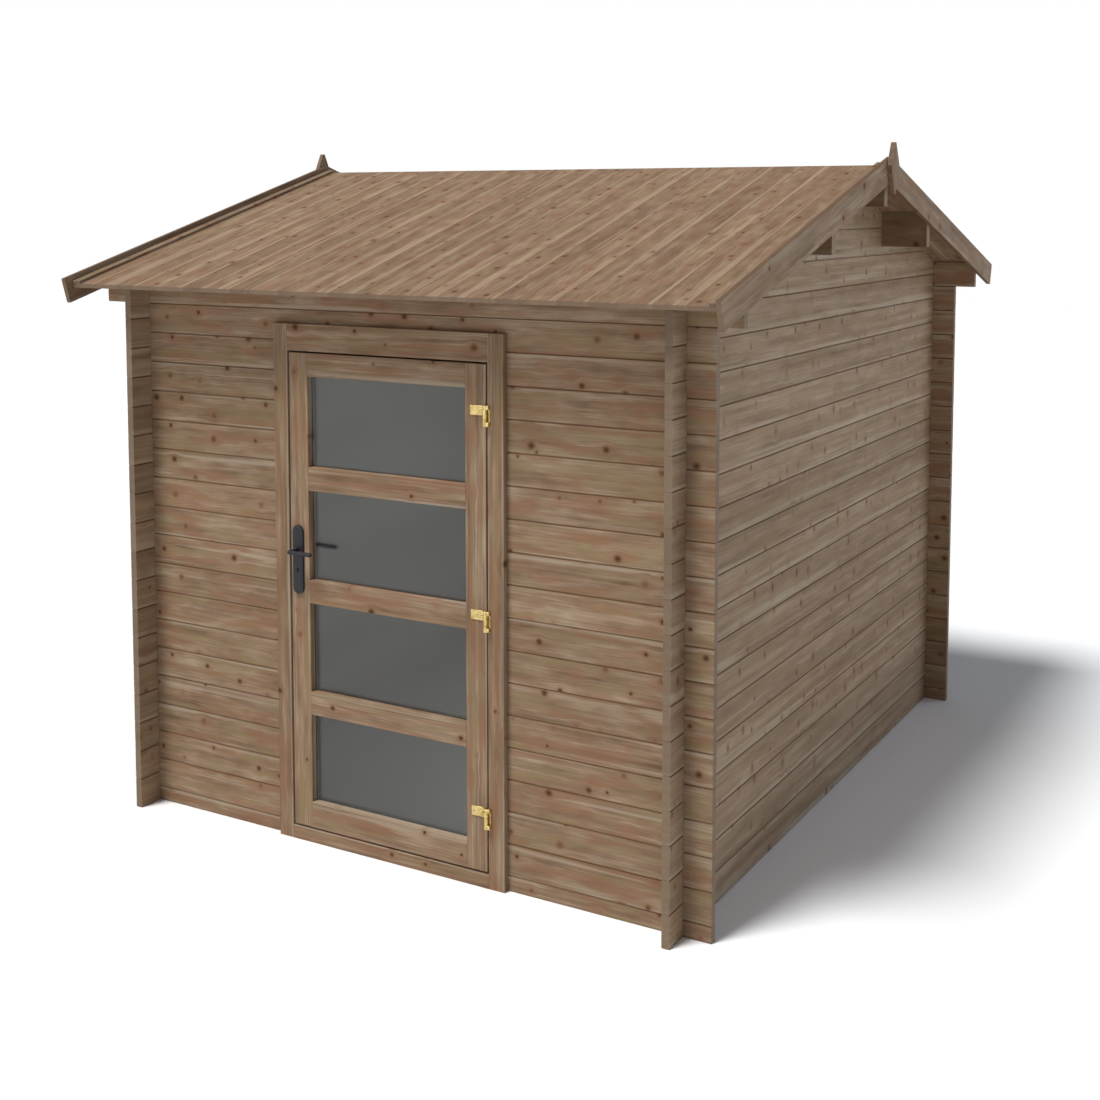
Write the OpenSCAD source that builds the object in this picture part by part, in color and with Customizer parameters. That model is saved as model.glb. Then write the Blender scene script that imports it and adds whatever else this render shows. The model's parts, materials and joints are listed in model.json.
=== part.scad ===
// Garden shed of interlocking wall logs, with a low gabled board roof
// and a glazed door in the eaves wall. All lengths are in millimetres.
// Ground is Z = 0, the door faces -Y and the ridge runs along X.

/* [Wall logs] */
// Height of one log course
log_h = 112; // [95:1:130]
// Thickness of a wall log
log_t = 28; // [20:1:44]
// Depth of the V groove at each log joint, on both faces
groove_d = 2.5; // [2:0.5:6]
// Full log courses under the eaves log of the front and back walls
courses = 17; // [14:1:20]
// Width of the shed over the outer faces of its side walls
wall_w = 2290; // [1900:10:3200]
// Depth of the shed over the outer faces of its front and back walls
wall_d = 2750; // [2000:10:3600]
// Length of the log ends past the wall they cross
log_over = 100; // [60:5:140]
// Clearance in the crossing notches
notch_gap = 0.3; // [0.1:0.1:1]

/* [Roof] */
// Pitch of both roof slopes, in degrees
pitch = 16.1; // [12:0.1:24]
// Thickness of the roof boards
roof_t = 16; // [12:1:24]
// Boards side by side on each slope
roof_boards = 24; // [18:1:32]
// Depth of the V seam between two boards, on both faces
seam_d = 1; // [0.5:0.5:3]
// Clearance between the boards and what carries them
roof_gap = 0.2; // [0.1:0.1:0.8]
// Overhang of the roof boards in front of the wall face
eave_over = 175; // [150:5:260]
// Overhang of the roof boards past the side walls
verge_over = 190; // [150:1:260]
// Thickness of a purlin
purlin_t = 40; // [28:1:60]
// Height of a purlin
purlin_h = 140; // [90:5:180]
// Distance of the middle purlins from the ridge
purlin_y = 580; // [400:10:800]

/* [Gable trim] */
// Thickness of a bargeboard
barge_t = 18; // [14:1:28]
// Width of a bargeboard
barge_h = 96; // [80:1:130]
// Height of a bargeboard's top edge over the roof boards
barge_rise = 30; // [14:1:40]
// Overhang of the bargeboards in front of the wall face
barge_over = 220; // [190:5:290]
// Width of the lath on the boards beside a bargeboard
lath_w = 38; // [30:1:60]
// Thickness of the lath
lath_t = 11; // [6:1:14]
// Thickness of the finial
finial_t = 18; // [12:1:28]
// Height of the finial
finial_h = 196; // [140:2:260]
// Greatest width of the finial
finial_w = 100; // [70:2:130]
// Width of the finial's two blunt tips
finial_tip = 12; // [6:1:24]
// Length of the finial below the top of the bargeboards
finial_drop = 142; // [90:1:160]

/* [Door frame] */
// Width of the door frame over its jambs
frame_w = 980; // [860:5:1120]
// Visible width of a jamb
jamb_w = 63; // [55:1:80]
// Visible height of the frame head
head_h = 97; // [80:1:110]
// Height of the sill
sill_h = 50; // [35:1:70]
// How far the frame stands proud of the wall, on both sides
frame_proud = 22; // [18:1:30]
// Depth of the groove that clasps the wall logs
clasp_d = 25; // [15:1:35]
// Height of the frame's top over the underside of the lintel log
frame_lap = 62; // [50:1:70]
// Width of the stop that the leaf closes against
stop_w = 14; // [8:1:14]
// Clearance of the frame groove and the glazing grooves
fit_gap = 0.3; // [0.1:0.1:0.8]

/* [Door leaf] */
// Thickness of the leaf
leaf_t = 40; // [34:1:44]
// Running gap round the leaf
leaf_gap = 7; // [5:0.5:10]
// Gap between the leaf and the stop
stop_gap = 5; // [5:0.5:8]
// Setback of the leaf's face behind the frame's face
leaf_set = 2; // [1:0.5:6]
// Width of the stiles
stile_w = 83; // [70:1:110]
// Height of the bottom rail
bottom_rail_h = 97; // [70:1:160]
// Height of the middle rails
middle_rail_h = 85; // [50:1:110]
// Height of the top rail
top_rail_h = 84; // [60:1:120]
// Thickness of the glass
glass_t = 4; // [3:1:8]
// Setback of the glass behind the leaf's face
glass_set = 26; // [18:1:28]
// Depth of the glazing groove
glaze_d = 8; // [5:0.5:12]

/* [Hinges] */
// Radius of the hinge barrel
barrel_r = 7.5; // [7:0.5:9]
// Radius of the hinge pin
pin_r = 4; // [3:0.5:5]
// Radial clearance of the barrel on its pin
pin_gap = 0.05; // [0.02:0.01:0.08]
// Length of the barrel
barrel_l = 42; // [36:1:60]
// Height of the two lugs that hold the pin
lug_h = 14; // [10:1:20]
// Clearance between the barrel and each lug
lug_gap = 0.5; // [0.2:0.1:1.5]
// Width of the flag on the leaf
flag_w = 50; // [36:1:60]
// Height of the flag
flag_h = 34; // [26:1:44]
// Thickness of the flag and of the jamb plate
flag_t = 3; // [2:0.5:4]
// Height of the neck between flag and barrel
flag_neck_h = 10; // [6:1:14]
// Distance of the top hinge from the top of the leaf
top_hinge_in = 156; // [100:1:240]
// Distance of the bottom hinge from the bottom of the leaf
bottom_hinge_in = 210; // [120:1:280]

/* [Handle] */
// Height of the lever axis above the ground
lever_z = 1088; // [950:1:1200]
// Distance of the lever axis from the leaf's edge
backset = 36; // [34:1:42]
// Width of a handle plate
plate_w = 46; // [38:1:48]
// Length of a handle plate
plate_l = 253; // [200:1:280]
// Thickness of a handle plate
plate_t = 8; // [5:1:12]
// Height of the plate's top over the lever axis
plate_top = 90; // [60:1:100]
// Height of the lever axis over the keyhole
key_drop = 72; // [60:1:92]
// Radius of the keyhole's round end
key_r = 4; // [3:0.5:5]
// Radius of the lever's arm
lever_r = 8; // [7:0.5:10]
// Radius of the lever's neck
neck_r = 7; // [5:0.5:7]
// Length of the lever from its axis to its tip
lever_l = 100; // [85:1:125]
// Distance of the lever's arm from the leaf's face
lever_out = 55; // [45:1:65]
// Side of the square spindle
spindle_w = 8; // [6:1:9]
// Radius of the hole for the spindle
spindle_hole_r = 11; // [9:0.5:12]

/* [Hidden] */
$fn = 64;
// Overrun of every cut past the face it leaves
overrun = 6;

// Share of a log's height that is left at a crossing
neck_share = 0.5;
// Place of the finial's widest point over its height
finial_wide_share = 0.56;
// Place of the middle hinge between the bottom and top ones
middle_hinge_share = 0.495;
// Place of the flag's middle over the barrel's height
flag_place_share = 0.9;
// Width of the jamb plate over the barrel's radius, and its setback
jamb_plate_share = 1.1;
jamb_plate_set_share = 0.9;
// Width and length of the keyhole's slot over its radius
key_slot_shares = [1, 3];
panes = 4;

wood = [0.58, 0.47, 0.36];
roof_wood = [0.64, 0.52, 0.41];
glass_grey = [0.4, 0.41, 0.42, 0.6];
brass = [0.88, 0.78, 0.45];
black_metal = [0.16, 0.17, 0.2];

half_w = wall_w / 2;
half_d = wall_d / 2;
side_x = half_w - log_t / 2;
end_y = half_d - log_t / 2;
front_log_l = wall_w + 2 * log_over;
side_log_l = wall_d + 2 * log_over;
lintel_z = (courses - 0.5) * log_h;
eave_log_z = (courses + 0.5) * log_h;
eave_z = (courses + 1.5) * log_h;
gable_z = (courses + 1) * log_h;
ridge_z = eave_z + half_d * tan(pitch);
gable_courses = ceil((ridge_z - gable_z) / log_h);
roof_l = wall_w + 2 * verge_over;
barge_top = roof_t + barge_rise;
barge_x = roof_l / 2;
finial_z = ridge_z + barge_top / cos(pitch) - finial_drop;

frame_front = -(half_d + frame_proud);
frame_back = -(half_d - log_t - frame_proud);
clasp_front = -(half_d + fit_gap);
clasp_back = -(half_d - log_t - fit_gap);
frame_x = frame_w / 2;
clasp_x = frame_x - clasp_d;
jamb_x = frame_x - jamb_w;
frame_top = lintel_z + frame_lap;
clasp_top = frame_top - clasp_d;
head_z = frame_top - head_h;
leaf_front = frame_front + leaf_set;
leaf_back = leaf_front + leaf_t;
stop_front = leaf_back + stop_gap;

leaf_x = jamb_x - leaf_gap;
leaf_z = sill_h + leaf_gap;
leaf_top = head_z - leaf_gap;
pane_x = leaf_x - stile_w;
rails_h = bottom_rail_h + top_rail_h + (panes - 1) * middle_rail_h;
pane_h = (leaf_top - leaf_z - rails_h) / panes;
pane_pitch = pane_h + middle_rail_h;
first_pane_z = leaf_z + bottom_rail_h;
glass_front = leaf_front + glass_set;
tongue = glaze_d - fit_gap;

hinge_x = leaf_x + leaf_gap / 2;
hinge_y = frame_front - flag_t - barrel_r + lug_gap;
top_hinge_z = leaf_top - top_hinge_in;
bottom_hinge_z = leaf_z + bottom_hinge_in;
middle_hinge_z = bottom_hinge_z + middle_hinge_share * (top_hinge_z - bottom_hinge_z);
hinge_zs = [bottom_hinge_z, middle_hinge_z, top_hinge_z];

lever_x = -(leaf_x - backset);
plate_mid_z = lever_z + plate_top - plate_l / 2;

// Underside of the roof boards at a distance from the ridge
function roof_under(y) = ridge_z - abs(y) * tan(pitch);

// Top edge of what carries the boards
function roof_seat(y) = roof_under(y) - roof_gap / cos(pitch);

// Outline of one face of a stack of logs, with a V groove at each joint
function stack_face(joints, side) = [
    for (i = [0:len(joints) - 2])
        for (p = [[log_t / 2 - groove_d, joints[i]],
                  [log_t / 2, joints[i] + groove_d],
                  [log_t / 2, joints[i + 1] - groove_d],
                  [log_t / 2 - groove_d, joints[i + 1]]])
            [side * p[0], p[1]]];

// Points of a list without the ones that repeat their neighbour
function without_doubles(points) = [
    for (i = [0:len(points) - 1])
        if (i == 0 || norm(points[i] - points[i - 1]) > 0) points[i]];

function turned_round(points) = [for (i = [len(points) - 1:-1:0]) points[i]];

function stack_outline(joints) = concat(
    without_doubles(stack_face(joints, 1)),
    turned_round(without_doubles(stack_face(joints, -1))));

// Joint heights: front and back walls start on a half log, side walls on a full one
function front_joints(first, last) = [
    for (k = [first:last]) max(0, (k - 0.5) * log_h)];
function side_joints(first, last) = [for (k = [first:last]) k * log_h];

// Extrudes an outline drawn in Y and Z along X
module along_x(length) {
    rotate([90, 0, 90])
        linear_extrude(height = length, center = true)
            children();
}

// Extrudes an outline drawn in X and Z along Y
module along_y(length) {
    rotate([90, 0, 0])
        linear_extrude(height = length, center = true)
            children();
}

module front_stack(joints, length) {
    along_x(length) polygon(stack_outline(joints));
}

module side_stack(joints, length) {
    along_y(length) polygon(stack_outline(joints));
}

// Notches of a front or back wall, where the side walls' necks pass
module side_neck_notches(last) {
    for (sx = [-1, 1], k = [0:last])
        translate([sx * side_x, 0, (k + neck_share) * log_h])
            cube([log_t + 2 * notch_gap, log_t + 2 * overrun, neck_share * log_h],
                center = true);
}

// Notches of a side wall or gable, where the front and back walls' necks pass
module front_neck_notches(first, last) {
    for (sy = [-1, 1], k = [first:last])
        translate([0, sy * end_y, k * log_h])
            cube([log_t + 2 * overrun, log_t + 2 * notch_gap,
                neck_share * log_h + 2 * notch_gap], center = true);
}

module front_log_wall(joints, length) {
    difference() {
        front_stack(joints, length);
        side_neck_notches(courses + 1);
    }
}

module front_half_wall(side) {
    color(wood)
        translate([0, -end_y, 0])
            difference() {
                front_log_wall(front_joints(0, courses), front_log_l);
                translate([-side * front_log_l + side * (clasp_x + fit_gap), 0, lintel_z / 2])
                    cube([2 * front_log_l, log_t + 2 * overrun, lintel_z + 2 * overrun],
                        center = true);
            }
}

module front_lintel_log() {
    color(wood)
        translate([0, -end_y, 0])
            difference() {
                front_log_wall(front_joints(courses, courses + 1), front_log_l);
                translate([0, 0, lintel_z])
                    cube([2 * (clasp_x + fit_gap), log_t + 2 * overrun,
                        2 * (clasp_top + fit_gap - lintel_z)], center = true);
            }
}

module back_wall() {
    color(wood)
        translate([0, end_y, 0])
            front_log_wall(front_joints(0, courses + 1), front_log_l);
}

// The log under the eaves reaches out to the bargeboards, and its top follows the roof
module eaves_log(side) {
    color(wood)
        intersection() {
            translate([0, side * end_y, 0])
                front_log_wall(front_joints(courses + 1, courses + 3), roof_l);
            under_roof(roof_l, half_d + overrun, eave_log_z);
        }
}

// Space below the roof boards, for a distance to both sides of the ridge
module under_roof(length, reach, base_z) {
    along_x(length + 2 * overrun)
        polygon([[-reach, base_z], [reach, base_z], [reach, roof_seat(reach)],
            [0, roof_seat(0)], [-reach, roof_seat(reach)]]);
}

module side_wall(side) {
    color(wood)
        translate([side * side_x, 0, 0])
            difference() {
                side_stack(side_joints(0, courses + 1), side_log_l);
                front_neck_notches(0, courses + 1);
            }
}

module gable(side) {
    color(wood)
        translate([side * side_x, 0, 0])
            difference() {
                intersection() {
                    side_stack(side_joints(courses + 1, courses + 1 + gable_courses),
                        side_log_l);
                    under_roof(log_t, side_log_l / 2 + overrun, gable_z);
                }
                front_neck_notches(courses + 1, courses + 1);
                for (y = [-purlin_y, 0, purlin_y])
                    purlin_notch(y);
            }
}

// Slot in the gable's top edge for a purlin, open to the roof
module purlin_notch(y) {
    slot_z = purlin_base(y) - notch_gap;
    slot_h = ridge_z + overrun - slot_z;
    translate([0, y, slot_z + slot_h / 2])
        cube([log_t + 2 * overrun, purlin_t + 2 * notch_gap, slot_h], center = true);
}

function purlin_base(y) = roof_under(y) - purlin_h;

// Beam under the boards, with its top edge cut to the roof's slope
module purlin(y) {
    near = y - purlin_t / 2;
    far = y + purlin_t / 2;
    crest = y == 0 ? [[0, roof_seat(0)]] : [];
    color(wood)
        along_x(roof_l)
            polygon(concat([[near, purlin_base(y)], [far, purlin_base(y)],
                [far, roof_seat(far)]], crest, [[near, roof_seat(near)]]));
}

// Strip along a slope between two heights square to the underside of the boards.
// Its lower end is cut square and its upper end plumb at the ridge.
module slope_strip(low, high, reach) {
    end_z = roof_under(reach) + high / cos(pitch);
    width = high - low;
    polygon([[0, ridge_z + low / cos(pitch)], [0, ridge_z + high / cos(pitch)],
        [reach, end_z], [reach - width * sin(pitch), end_z - width * cos(pitch)]]);
}

// Turns an outline to the back slope or the front slope
module to_slope(side) {
    mirror([side > 0 ? 0 : 1, 0]) children();
}

// One face of the row of boards, with a V seam between each two of them
function board_face(z, inwards) = concat([[-roof_l / 2, z]], [
    for (i = [1:roof_boards - 1])
        let (x = (i / roof_boards - 0.5) * roof_l)
            for (p = [[x - seam_d, z], [x, z + inwards * seam_d], [x + seam_d, z]])
                p], [[roof_l / 2, z]]);

// Row of boards from ridge to eaves, cut plumb at the ridge and square at the eaves
module roof_slope(side) {
    cut_h = roof_t + overrun;
    reach = half_d + eave_over + cut_h * sin(pitch);
    color(roof_wood)
        intersection() {
            along_x(roof_l + 2 * overrun)
                to_slope(side) slope_strip(-overrun, cut_h, reach);
            translate([0, 0, ridge_z])
                rotate([-side * pitch, 0, 0])
                    along_y(2 * reach / cos(pitch))
                        polygon(concat(board_face(0, 1), turned_round(board_face(roof_t, -1))));
        }
}

module bargeboard(side_x_sign, side_y_sign) {
    color(wood)
        translate([side_x_sign * (barge_x + barge_t / 2), 0, 0])
            along_x(barge_t)
                to_slope(side_y_sign)
                    slope_strip(barge_top - barge_h, barge_top, half_d + barge_over);
}

// Lath along a bargeboard, cut like the boards that it lies on
module verge_lath(side_x_sign, side_y_sign) {
    base = roof_t + roof_gap;
    top = base + lath_t;
    color(wood)
        translate([side_x_sign * (barge_x - lath_w / 2), 0, 0])
            along_x(lath_w)
                to_slope(side_y_sign)
                    slope_strip(base, top, half_d + eave_over + top * sin(pitch));
}

module finial(side) {
    wide_z = finial_z + finial_wide_share * finial_h;
    top_z = finial_z + finial_h;
    color(wood)
        translate([side * (barge_x + barge_t + finial_t / 2), 0, 0])
            along_x(finial_t)
                polygon([[-finial_tip / 2, finial_z], [finial_tip / 2, finial_z],
                    [finial_w / 2, wide_z], [finial_tip / 2, top_z],
                    [-finial_tip / 2, top_z], [-finial_w / 2, wide_z]]);
}

// Jamb section, with the groove that clasps the logs
module jamb_section() {
    polygon([[frame_x, frame_front], [jamb_x, frame_front], [jamb_x, frame_back],
        [frame_x, frame_back], [frame_x, clasp_back], [clasp_x, clasp_back],
        [clasp_x, clasp_front], [frame_x, clasp_front]]);
}

module jamb(side) {
    lap_h = frame_top - clasp_top + overrun;
    color(wood)
        mirror([side > 0 ? 0 : 1, 0, 0])
            difference() {
                linear_extrude(height = frame_top) jamb_section();
                translate([jamb_x - overrun, clasp_front, clasp_top])
                    cube([jamb_w + 2 * overrun, clasp_back - clasp_front, lap_h]);
            }
}

module door_frame_head() {
    color(wood)
        along_x(2 * jamb_x)
            polygon([[frame_front, head_z], [frame_front, frame_top],
                [clasp_front, frame_top], [clasp_front, clasp_top],
                [clasp_back, clasp_top], [clasp_back, frame_top],
                [frame_back, frame_top], [frame_back, head_z]]);
}

module door_sill() {
    color(wood)
        along_x(2 * jamb_x)
            polygon([[frame_front, 0], [frame_back, 0], [frame_back, sill_h],
                [frame_front, sill_h]]);
}

// Bars planted round the inside of the frame, which the leaf closes against
module door_stops() {
    depth = frame_back - stop_front;
    bar_l = 2 * (jamb_x - stop_w - fit_gap);
    color(wood)
        translate([0, (stop_front + frame_back) / 2, 0]) {
            for (side = [-1, 1])
                translate([side * (jamb_x - stop_w / 2), 0, (sill_h + head_z) / 2])
                    cube([stop_w, depth, head_z - sill_h], center = true);
            for (z = [sill_h + stop_w / 2, head_z - stop_w / 2])
                translate([0, 0, z])
                    cube([bar_l, depth, stop_w], center = true);
        }
}

// Pin between two lugs on a plate that is screwed to the jamb
module hinge_bracket(flag_z) {
    barrel_z = flag_z - flag_place_share * barrel_l;
    low_z = barrel_z - lug_gap - lug_h;
    high_z = barrel_z + barrel_l + lug_gap;
    plate_set = jamb_plate_set_share * barrel_r;
    plate_w = jamb_plate_share * barrel_r;
    lug_reach = frame_front - hinge_y;
    translate([hinge_x, hinge_y, 0]) {
        translate([0, 0, low_z])
            cylinder(h = high_z + lug_h - low_z, r = pin_r);
        for (z = [low_z, high_z])
            translate([0, 0, z])
                hinge_lug(plate_set + plate_w, lug_reach);
        translate([plate_set, lug_reach - flag_t, low_z])
            cube([plate_w, flag_t, high_z + lug_h - low_z]);
    }
}

// Lug with a round nose, reaching from the pin to the jamb
module hinge_lug(width, reach) {
    cylinder(h = lug_h, r = barrel_r);
    translate([0, -pin_r, 0])
        cube([width, reach + pin_r, lug_h]);
}

module hinge_brackets() {
    color(brass)
        for (z = hinge_zs)
            hinge_bracket(z);
}

// Flag on the leaf's face with the barrel that turns on the pin
module hinge_flag(flag_z) {
    barrel_z = flag_z - flag_place_share * barrel_l;
    neck_z = barrel_z + barrel_l - flag_neck_h;
    flag_x = -(barrel_r + lug_gap + leaf_gap / 2 + flag_t);
    face_y = leaf_front - hinge_y;
    translate([hinge_x, hinge_y, 0])
        difference() {
            union() {
                translate([0, 0, barrel_z])
                    cylinder(h = barrel_l, r = barrel_r);
                translate([flag_x - flag_w, face_y - flag_t, flag_z - flag_h / 2])
                    cube([flag_w, flag_t, flag_h]);
                translate([flag_x - flag_t, -pin_r, neck_z])
                    cube([-flag_x + flag_t, flag_t + pin_r, flag_neck_h]);
                translate([flag_x - flag_t, -pin_r, neck_z])
                    cube([flag_t, face_y + pin_r, flag_neck_h]);
            }
            translate([0, 0, barrel_z - overrun])
                cylinder(h = barrel_l + 2 * overrun, r = pin_r + pin_gap);
        }
}

module hinge_flags() {
    color(brass)
        for (z = hinge_zs)
            hinge_flag(z);
}

// Groove that holds the glass, cut along a stile's inner edge
module glazing_groove(length, depth) {
    cube([length, glass_t + 2 * fit_gap, depth], center = true);
}

// Upright of the leaf with one glazing groove over its whole height
module stile(side) {
    height = leaf_top - leaf_z;
    translate([side * (leaf_x - stile_w / 2), 0, leaf_z + height / 2])
        difference() {
            translate([0, (leaf_front + leaf_back) / 2, 0])
                cube([stile_w, leaf_t, height], center = true);
            translate([-side * stile_w / 2, glass_front + glass_t / 2, 0])
                glazing_groove(2 * glaze_d, height + 2 * overrun);
        }
}

module door_left_stile() {
    color(wood)
        difference() {
            stile(-1);
            translate([lever_x, leaf_front - overrun, lever_z])
                rotate([-90, 0, 0])
                    cylinder(h = leaf_t + 2 * overrun, r = spindle_hole_r);
        }
}

module door_right_stile() {
    color(wood) stile(1);
}

// Crosspiece with a tongue at both ends, grooved where a pane meets it
module rail(z, height, groove_below, groove_above) {
    color(wood)
        difference() {
            union() {
                translate([0, (leaf_front + leaf_back) / 2, z + height / 2])
                    cube([2 * pane_x, leaf_t, height], center = true);
                translate([0, glass_front + glass_t / 2, z + height / 2])
                    cube([2 * (pane_x + tongue), glass_t, height], center = true);
            }
            for (edge = concat(groove_below ? [z] : [], groove_above ? [z + height] : []))
                translate([0, glass_front + glass_t / 2, edge])
                    glazing_groove(2 * (pane_x + glaze_d), 2 * glaze_d);
        }
}

module middle_rail(index) {
    rail(first_pane_z + index * pane_pitch - middle_rail_h, middle_rail_h, true, true);
}

module door_panes() {
    color(glass_grey)
        for (i = [0:panes - 1])
            translate([0, glass_front + glass_t / 2, first_pane_z + i * pane_pitch + pane_h / 2])
                cube([2 * (pane_x + tongue), glass_t, pane_h + 2 * tongue], center = true);
}

// Long plate with round ends, a bore for the lever's neck and a keyhole
module handle_plate(face_y) {
    plate_r = plate_w / 2;
    color(black_metal)
        translate([lever_x, face_y, 0])
            rotate([90, 0, 0])
                difference() {
                    linear_extrude(height = plate_t)
                        difference() {
                            union() {
                                translate([0, plate_mid_z])
                                    square([plate_w, plate_l - plate_w], center = true);
                                for (s = [-1, 1])
                                    translate([0, plate_mid_z + s * (plate_l / 2 - plate_r)])
                                        circle(r = plate_r);
                            }
                            translate([0, lever_z - key_drop])
                                keyhole();
                        }
                    translate([0, lever_z, -overrun])
                        cylinder(h = plate_t + 2 * overrun, r = neck_r + pin_gap);
                }
}

module keyhole() {
    slot_w = key_slot_shares[0] * key_r;
    slot_l = key_slot_shares[1] * key_r;
    circle(r = key_r);
    translate([-slot_w / 2, -slot_l])
        square([slot_w, slot_l]);
}

// Lever arm with round ends, pointing to the hinges, on a neck through its plate
module lever(outwards, face_y) {
    arm_y = face_y + outwards * lever_out;
    color(black_metal)
        translate([lever_x, 0, lever_z]) {
            translate([0, arm_y, 0])
                rotate([0, 90, 0])
                    rotate_extrude()
                        arm_profile();
            translate([0, outwards > 0 ? face_y : arm_y, 0])
                rotate([-90, 0, 0])
                    cylinder(h = lever_out, r = neck_r);
        }
}

// Half section of the arm along its length
module arm_profile() {
    intersection() {
        union() {
            circle(r = lever_r);
            translate([0, lever_l - lever_r]) circle(r = lever_r);
            translate([-lever_r, 0]) square([2 * lever_r, lever_l - lever_r]);
        }
        translate([0, -lever_r]) square([lever_r, lever_l + lever_r]);
    }
}

module spindle() {
    color(black_metal)
        translate([lever_x, (leaf_front + leaf_back) / 2, lever_z])
            cube([spindle_w, leaf_t, spindle_w], center = true);
}

front_half_wall(-1);  // front_wall_left
front_half_wall(1);  // front_wall_right
front_lintel_log();
eaves_log(-1);  // front_eaves_log
back_wall();
eaves_log(1);  // back_eaves_log
side_wall(-1);  // left_wall
side_wall(1);  // right_wall
gable(-1);  // left_gable
gable(1);  // right_gable
purlin(0);  // ridge_purlin
purlin(-purlin_y);  // front_purlin
purlin(purlin_y);  // back_purlin
roof_slope(-1);  // roof_front_slope
roof_slope(1);  // roof_back_slope
bargeboard(-1, -1);  // left_front_bargeboard
bargeboard(-1, 1);  // left_back_bargeboard
bargeboard(1, -1);  // right_front_bargeboard
bargeboard(1, 1);  // right_back_bargeboard
verge_lath(-1, -1);  // left_front_verge_lath
verge_lath(-1, 1);  // left_back_verge_lath
verge_lath(1, -1);  // right_front_verge_lath
verge_lath(1, 1);  // right_back_verge_lath
finial(-1);  // left_finial
finial(1);  // right_finial
jamb(-1);  // door_frame_left_jamb
jamb(1);  // door_frame_right_jamb
door_frame_head();
door_sill();
door_stops();
hinge_brackets();
door_left_stile();
door_right_stile();
rail(leaf_z, bottom_rail_h, false, true);  // door_bottom_rail
middle_rail(1);  // door_lower_rail
middle_rail(2);  // door_lock_rail
middle_rail(3);  // door_upper_rail
rail(leaf_top - top_rail_h, top_rail_h, true, false);  // door_top_rail
door_panes();
hinge_flags();
handle_plate(leaf_front);  // handle_plate_outside
handle_plate(leaf_back + plate_t);  // handle_plate_inside
lever(-1, leaf_front);  // lever_outside
lever(1, leaf_back);  // lever_inside
spindle();
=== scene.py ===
"""Garden shed of stained pine logs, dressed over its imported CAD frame.

All lengths are in metres, in the frame of the CAD model: the ground is Z = 0,
the door faces -Y and the ridge runs along X.
"""

import json
import logging
import math
import random
from dataclasses import dataclass, replace
from enum import Enum
from typing import Any, Callable, Sequence

import bmesh
import bpy
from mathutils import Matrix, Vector

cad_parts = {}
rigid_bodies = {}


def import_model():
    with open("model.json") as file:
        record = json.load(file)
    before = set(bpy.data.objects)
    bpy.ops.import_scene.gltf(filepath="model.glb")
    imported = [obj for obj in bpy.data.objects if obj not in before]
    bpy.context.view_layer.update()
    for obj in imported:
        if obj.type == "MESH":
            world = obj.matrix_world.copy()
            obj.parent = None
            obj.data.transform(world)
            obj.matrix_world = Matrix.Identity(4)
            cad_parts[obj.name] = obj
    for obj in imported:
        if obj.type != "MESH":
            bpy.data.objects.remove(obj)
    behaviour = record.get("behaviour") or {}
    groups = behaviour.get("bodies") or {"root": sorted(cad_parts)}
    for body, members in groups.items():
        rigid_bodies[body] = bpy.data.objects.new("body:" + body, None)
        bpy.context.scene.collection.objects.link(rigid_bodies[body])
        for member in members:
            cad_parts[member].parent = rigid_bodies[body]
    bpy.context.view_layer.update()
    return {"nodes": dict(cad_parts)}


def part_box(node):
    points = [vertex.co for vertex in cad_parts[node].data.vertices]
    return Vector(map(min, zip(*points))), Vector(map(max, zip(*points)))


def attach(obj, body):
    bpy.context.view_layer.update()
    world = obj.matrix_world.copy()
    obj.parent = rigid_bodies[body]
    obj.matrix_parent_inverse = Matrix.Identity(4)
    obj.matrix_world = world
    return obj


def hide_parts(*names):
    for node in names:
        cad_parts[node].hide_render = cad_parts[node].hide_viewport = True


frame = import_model()
LOG = logging.getLogger("shed")

# One millimetre, and the distance under which two points are one
MM = 0.001
MERGE = 0.01 * MM
# Faces of a CAD mesh that meet at less than this angle are one flat face
FLAT = math.radians(0.5)
# Height of a course of logs, and pitch of the roof
COURSE = 112 * MM
PITCH = math.radians(16.1)
# Chamfer beside the joint of two logs, and how far from the joint its dark colour reaches, painted shade
# with some stain pooled in the groove
GROOVE = 2.5 * MM
GROOVE_REACH = 1.4 * GROOVE
# Least share of a face's normal along the fibres on end grain, and across them in a groove
END_FACING = 0.8
GROOVE_FACING = 0.3
# Furthest that a board's shift takes it through the wood pattern, and the seeds set aside for a piece
PATTERN_SPAN = 9.0
COURSE_SEEDS = 1000
# Single values that the boards' faces carry for the pine finishes
MARKS = ("tint", "end", "groove", "rise")
# Middle of a noise's range, and the bevel profile of a round edge
MIDDLE = 0.5
ROUND = 0.5
# The Mix node's sockets share their names, so those for colours go by index
FACTOR, UNDER, OVER, MIXED = 0, 6, 7, 2
# No shift at all, and light without a tint
STILL = (0.0, 0.0, 0.0)
WHITE = "#ffffff"

Colour = tuple[float, float, float, float]
Point = tuple[float, float, float]
Span = tuple[float, float]
Seam = Callable[[Vector], bool]
Socket = bpy.types.NodeSocket


class Body(Enum):
    """Moving bodies of the CAD model."""

    SHED = "shed"
    DOOR = "door"
    HANDLE = "handle"


class Slot(Enum):
    """Material slots of the record."""

    WALL = "wall_pine"
    ROOF = "roof_pine"
    TRIM = "trim_pine"
    DOOR = "door_pine"
    BRASS = "hinge_brass"
    IRON = "black_iron"


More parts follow.
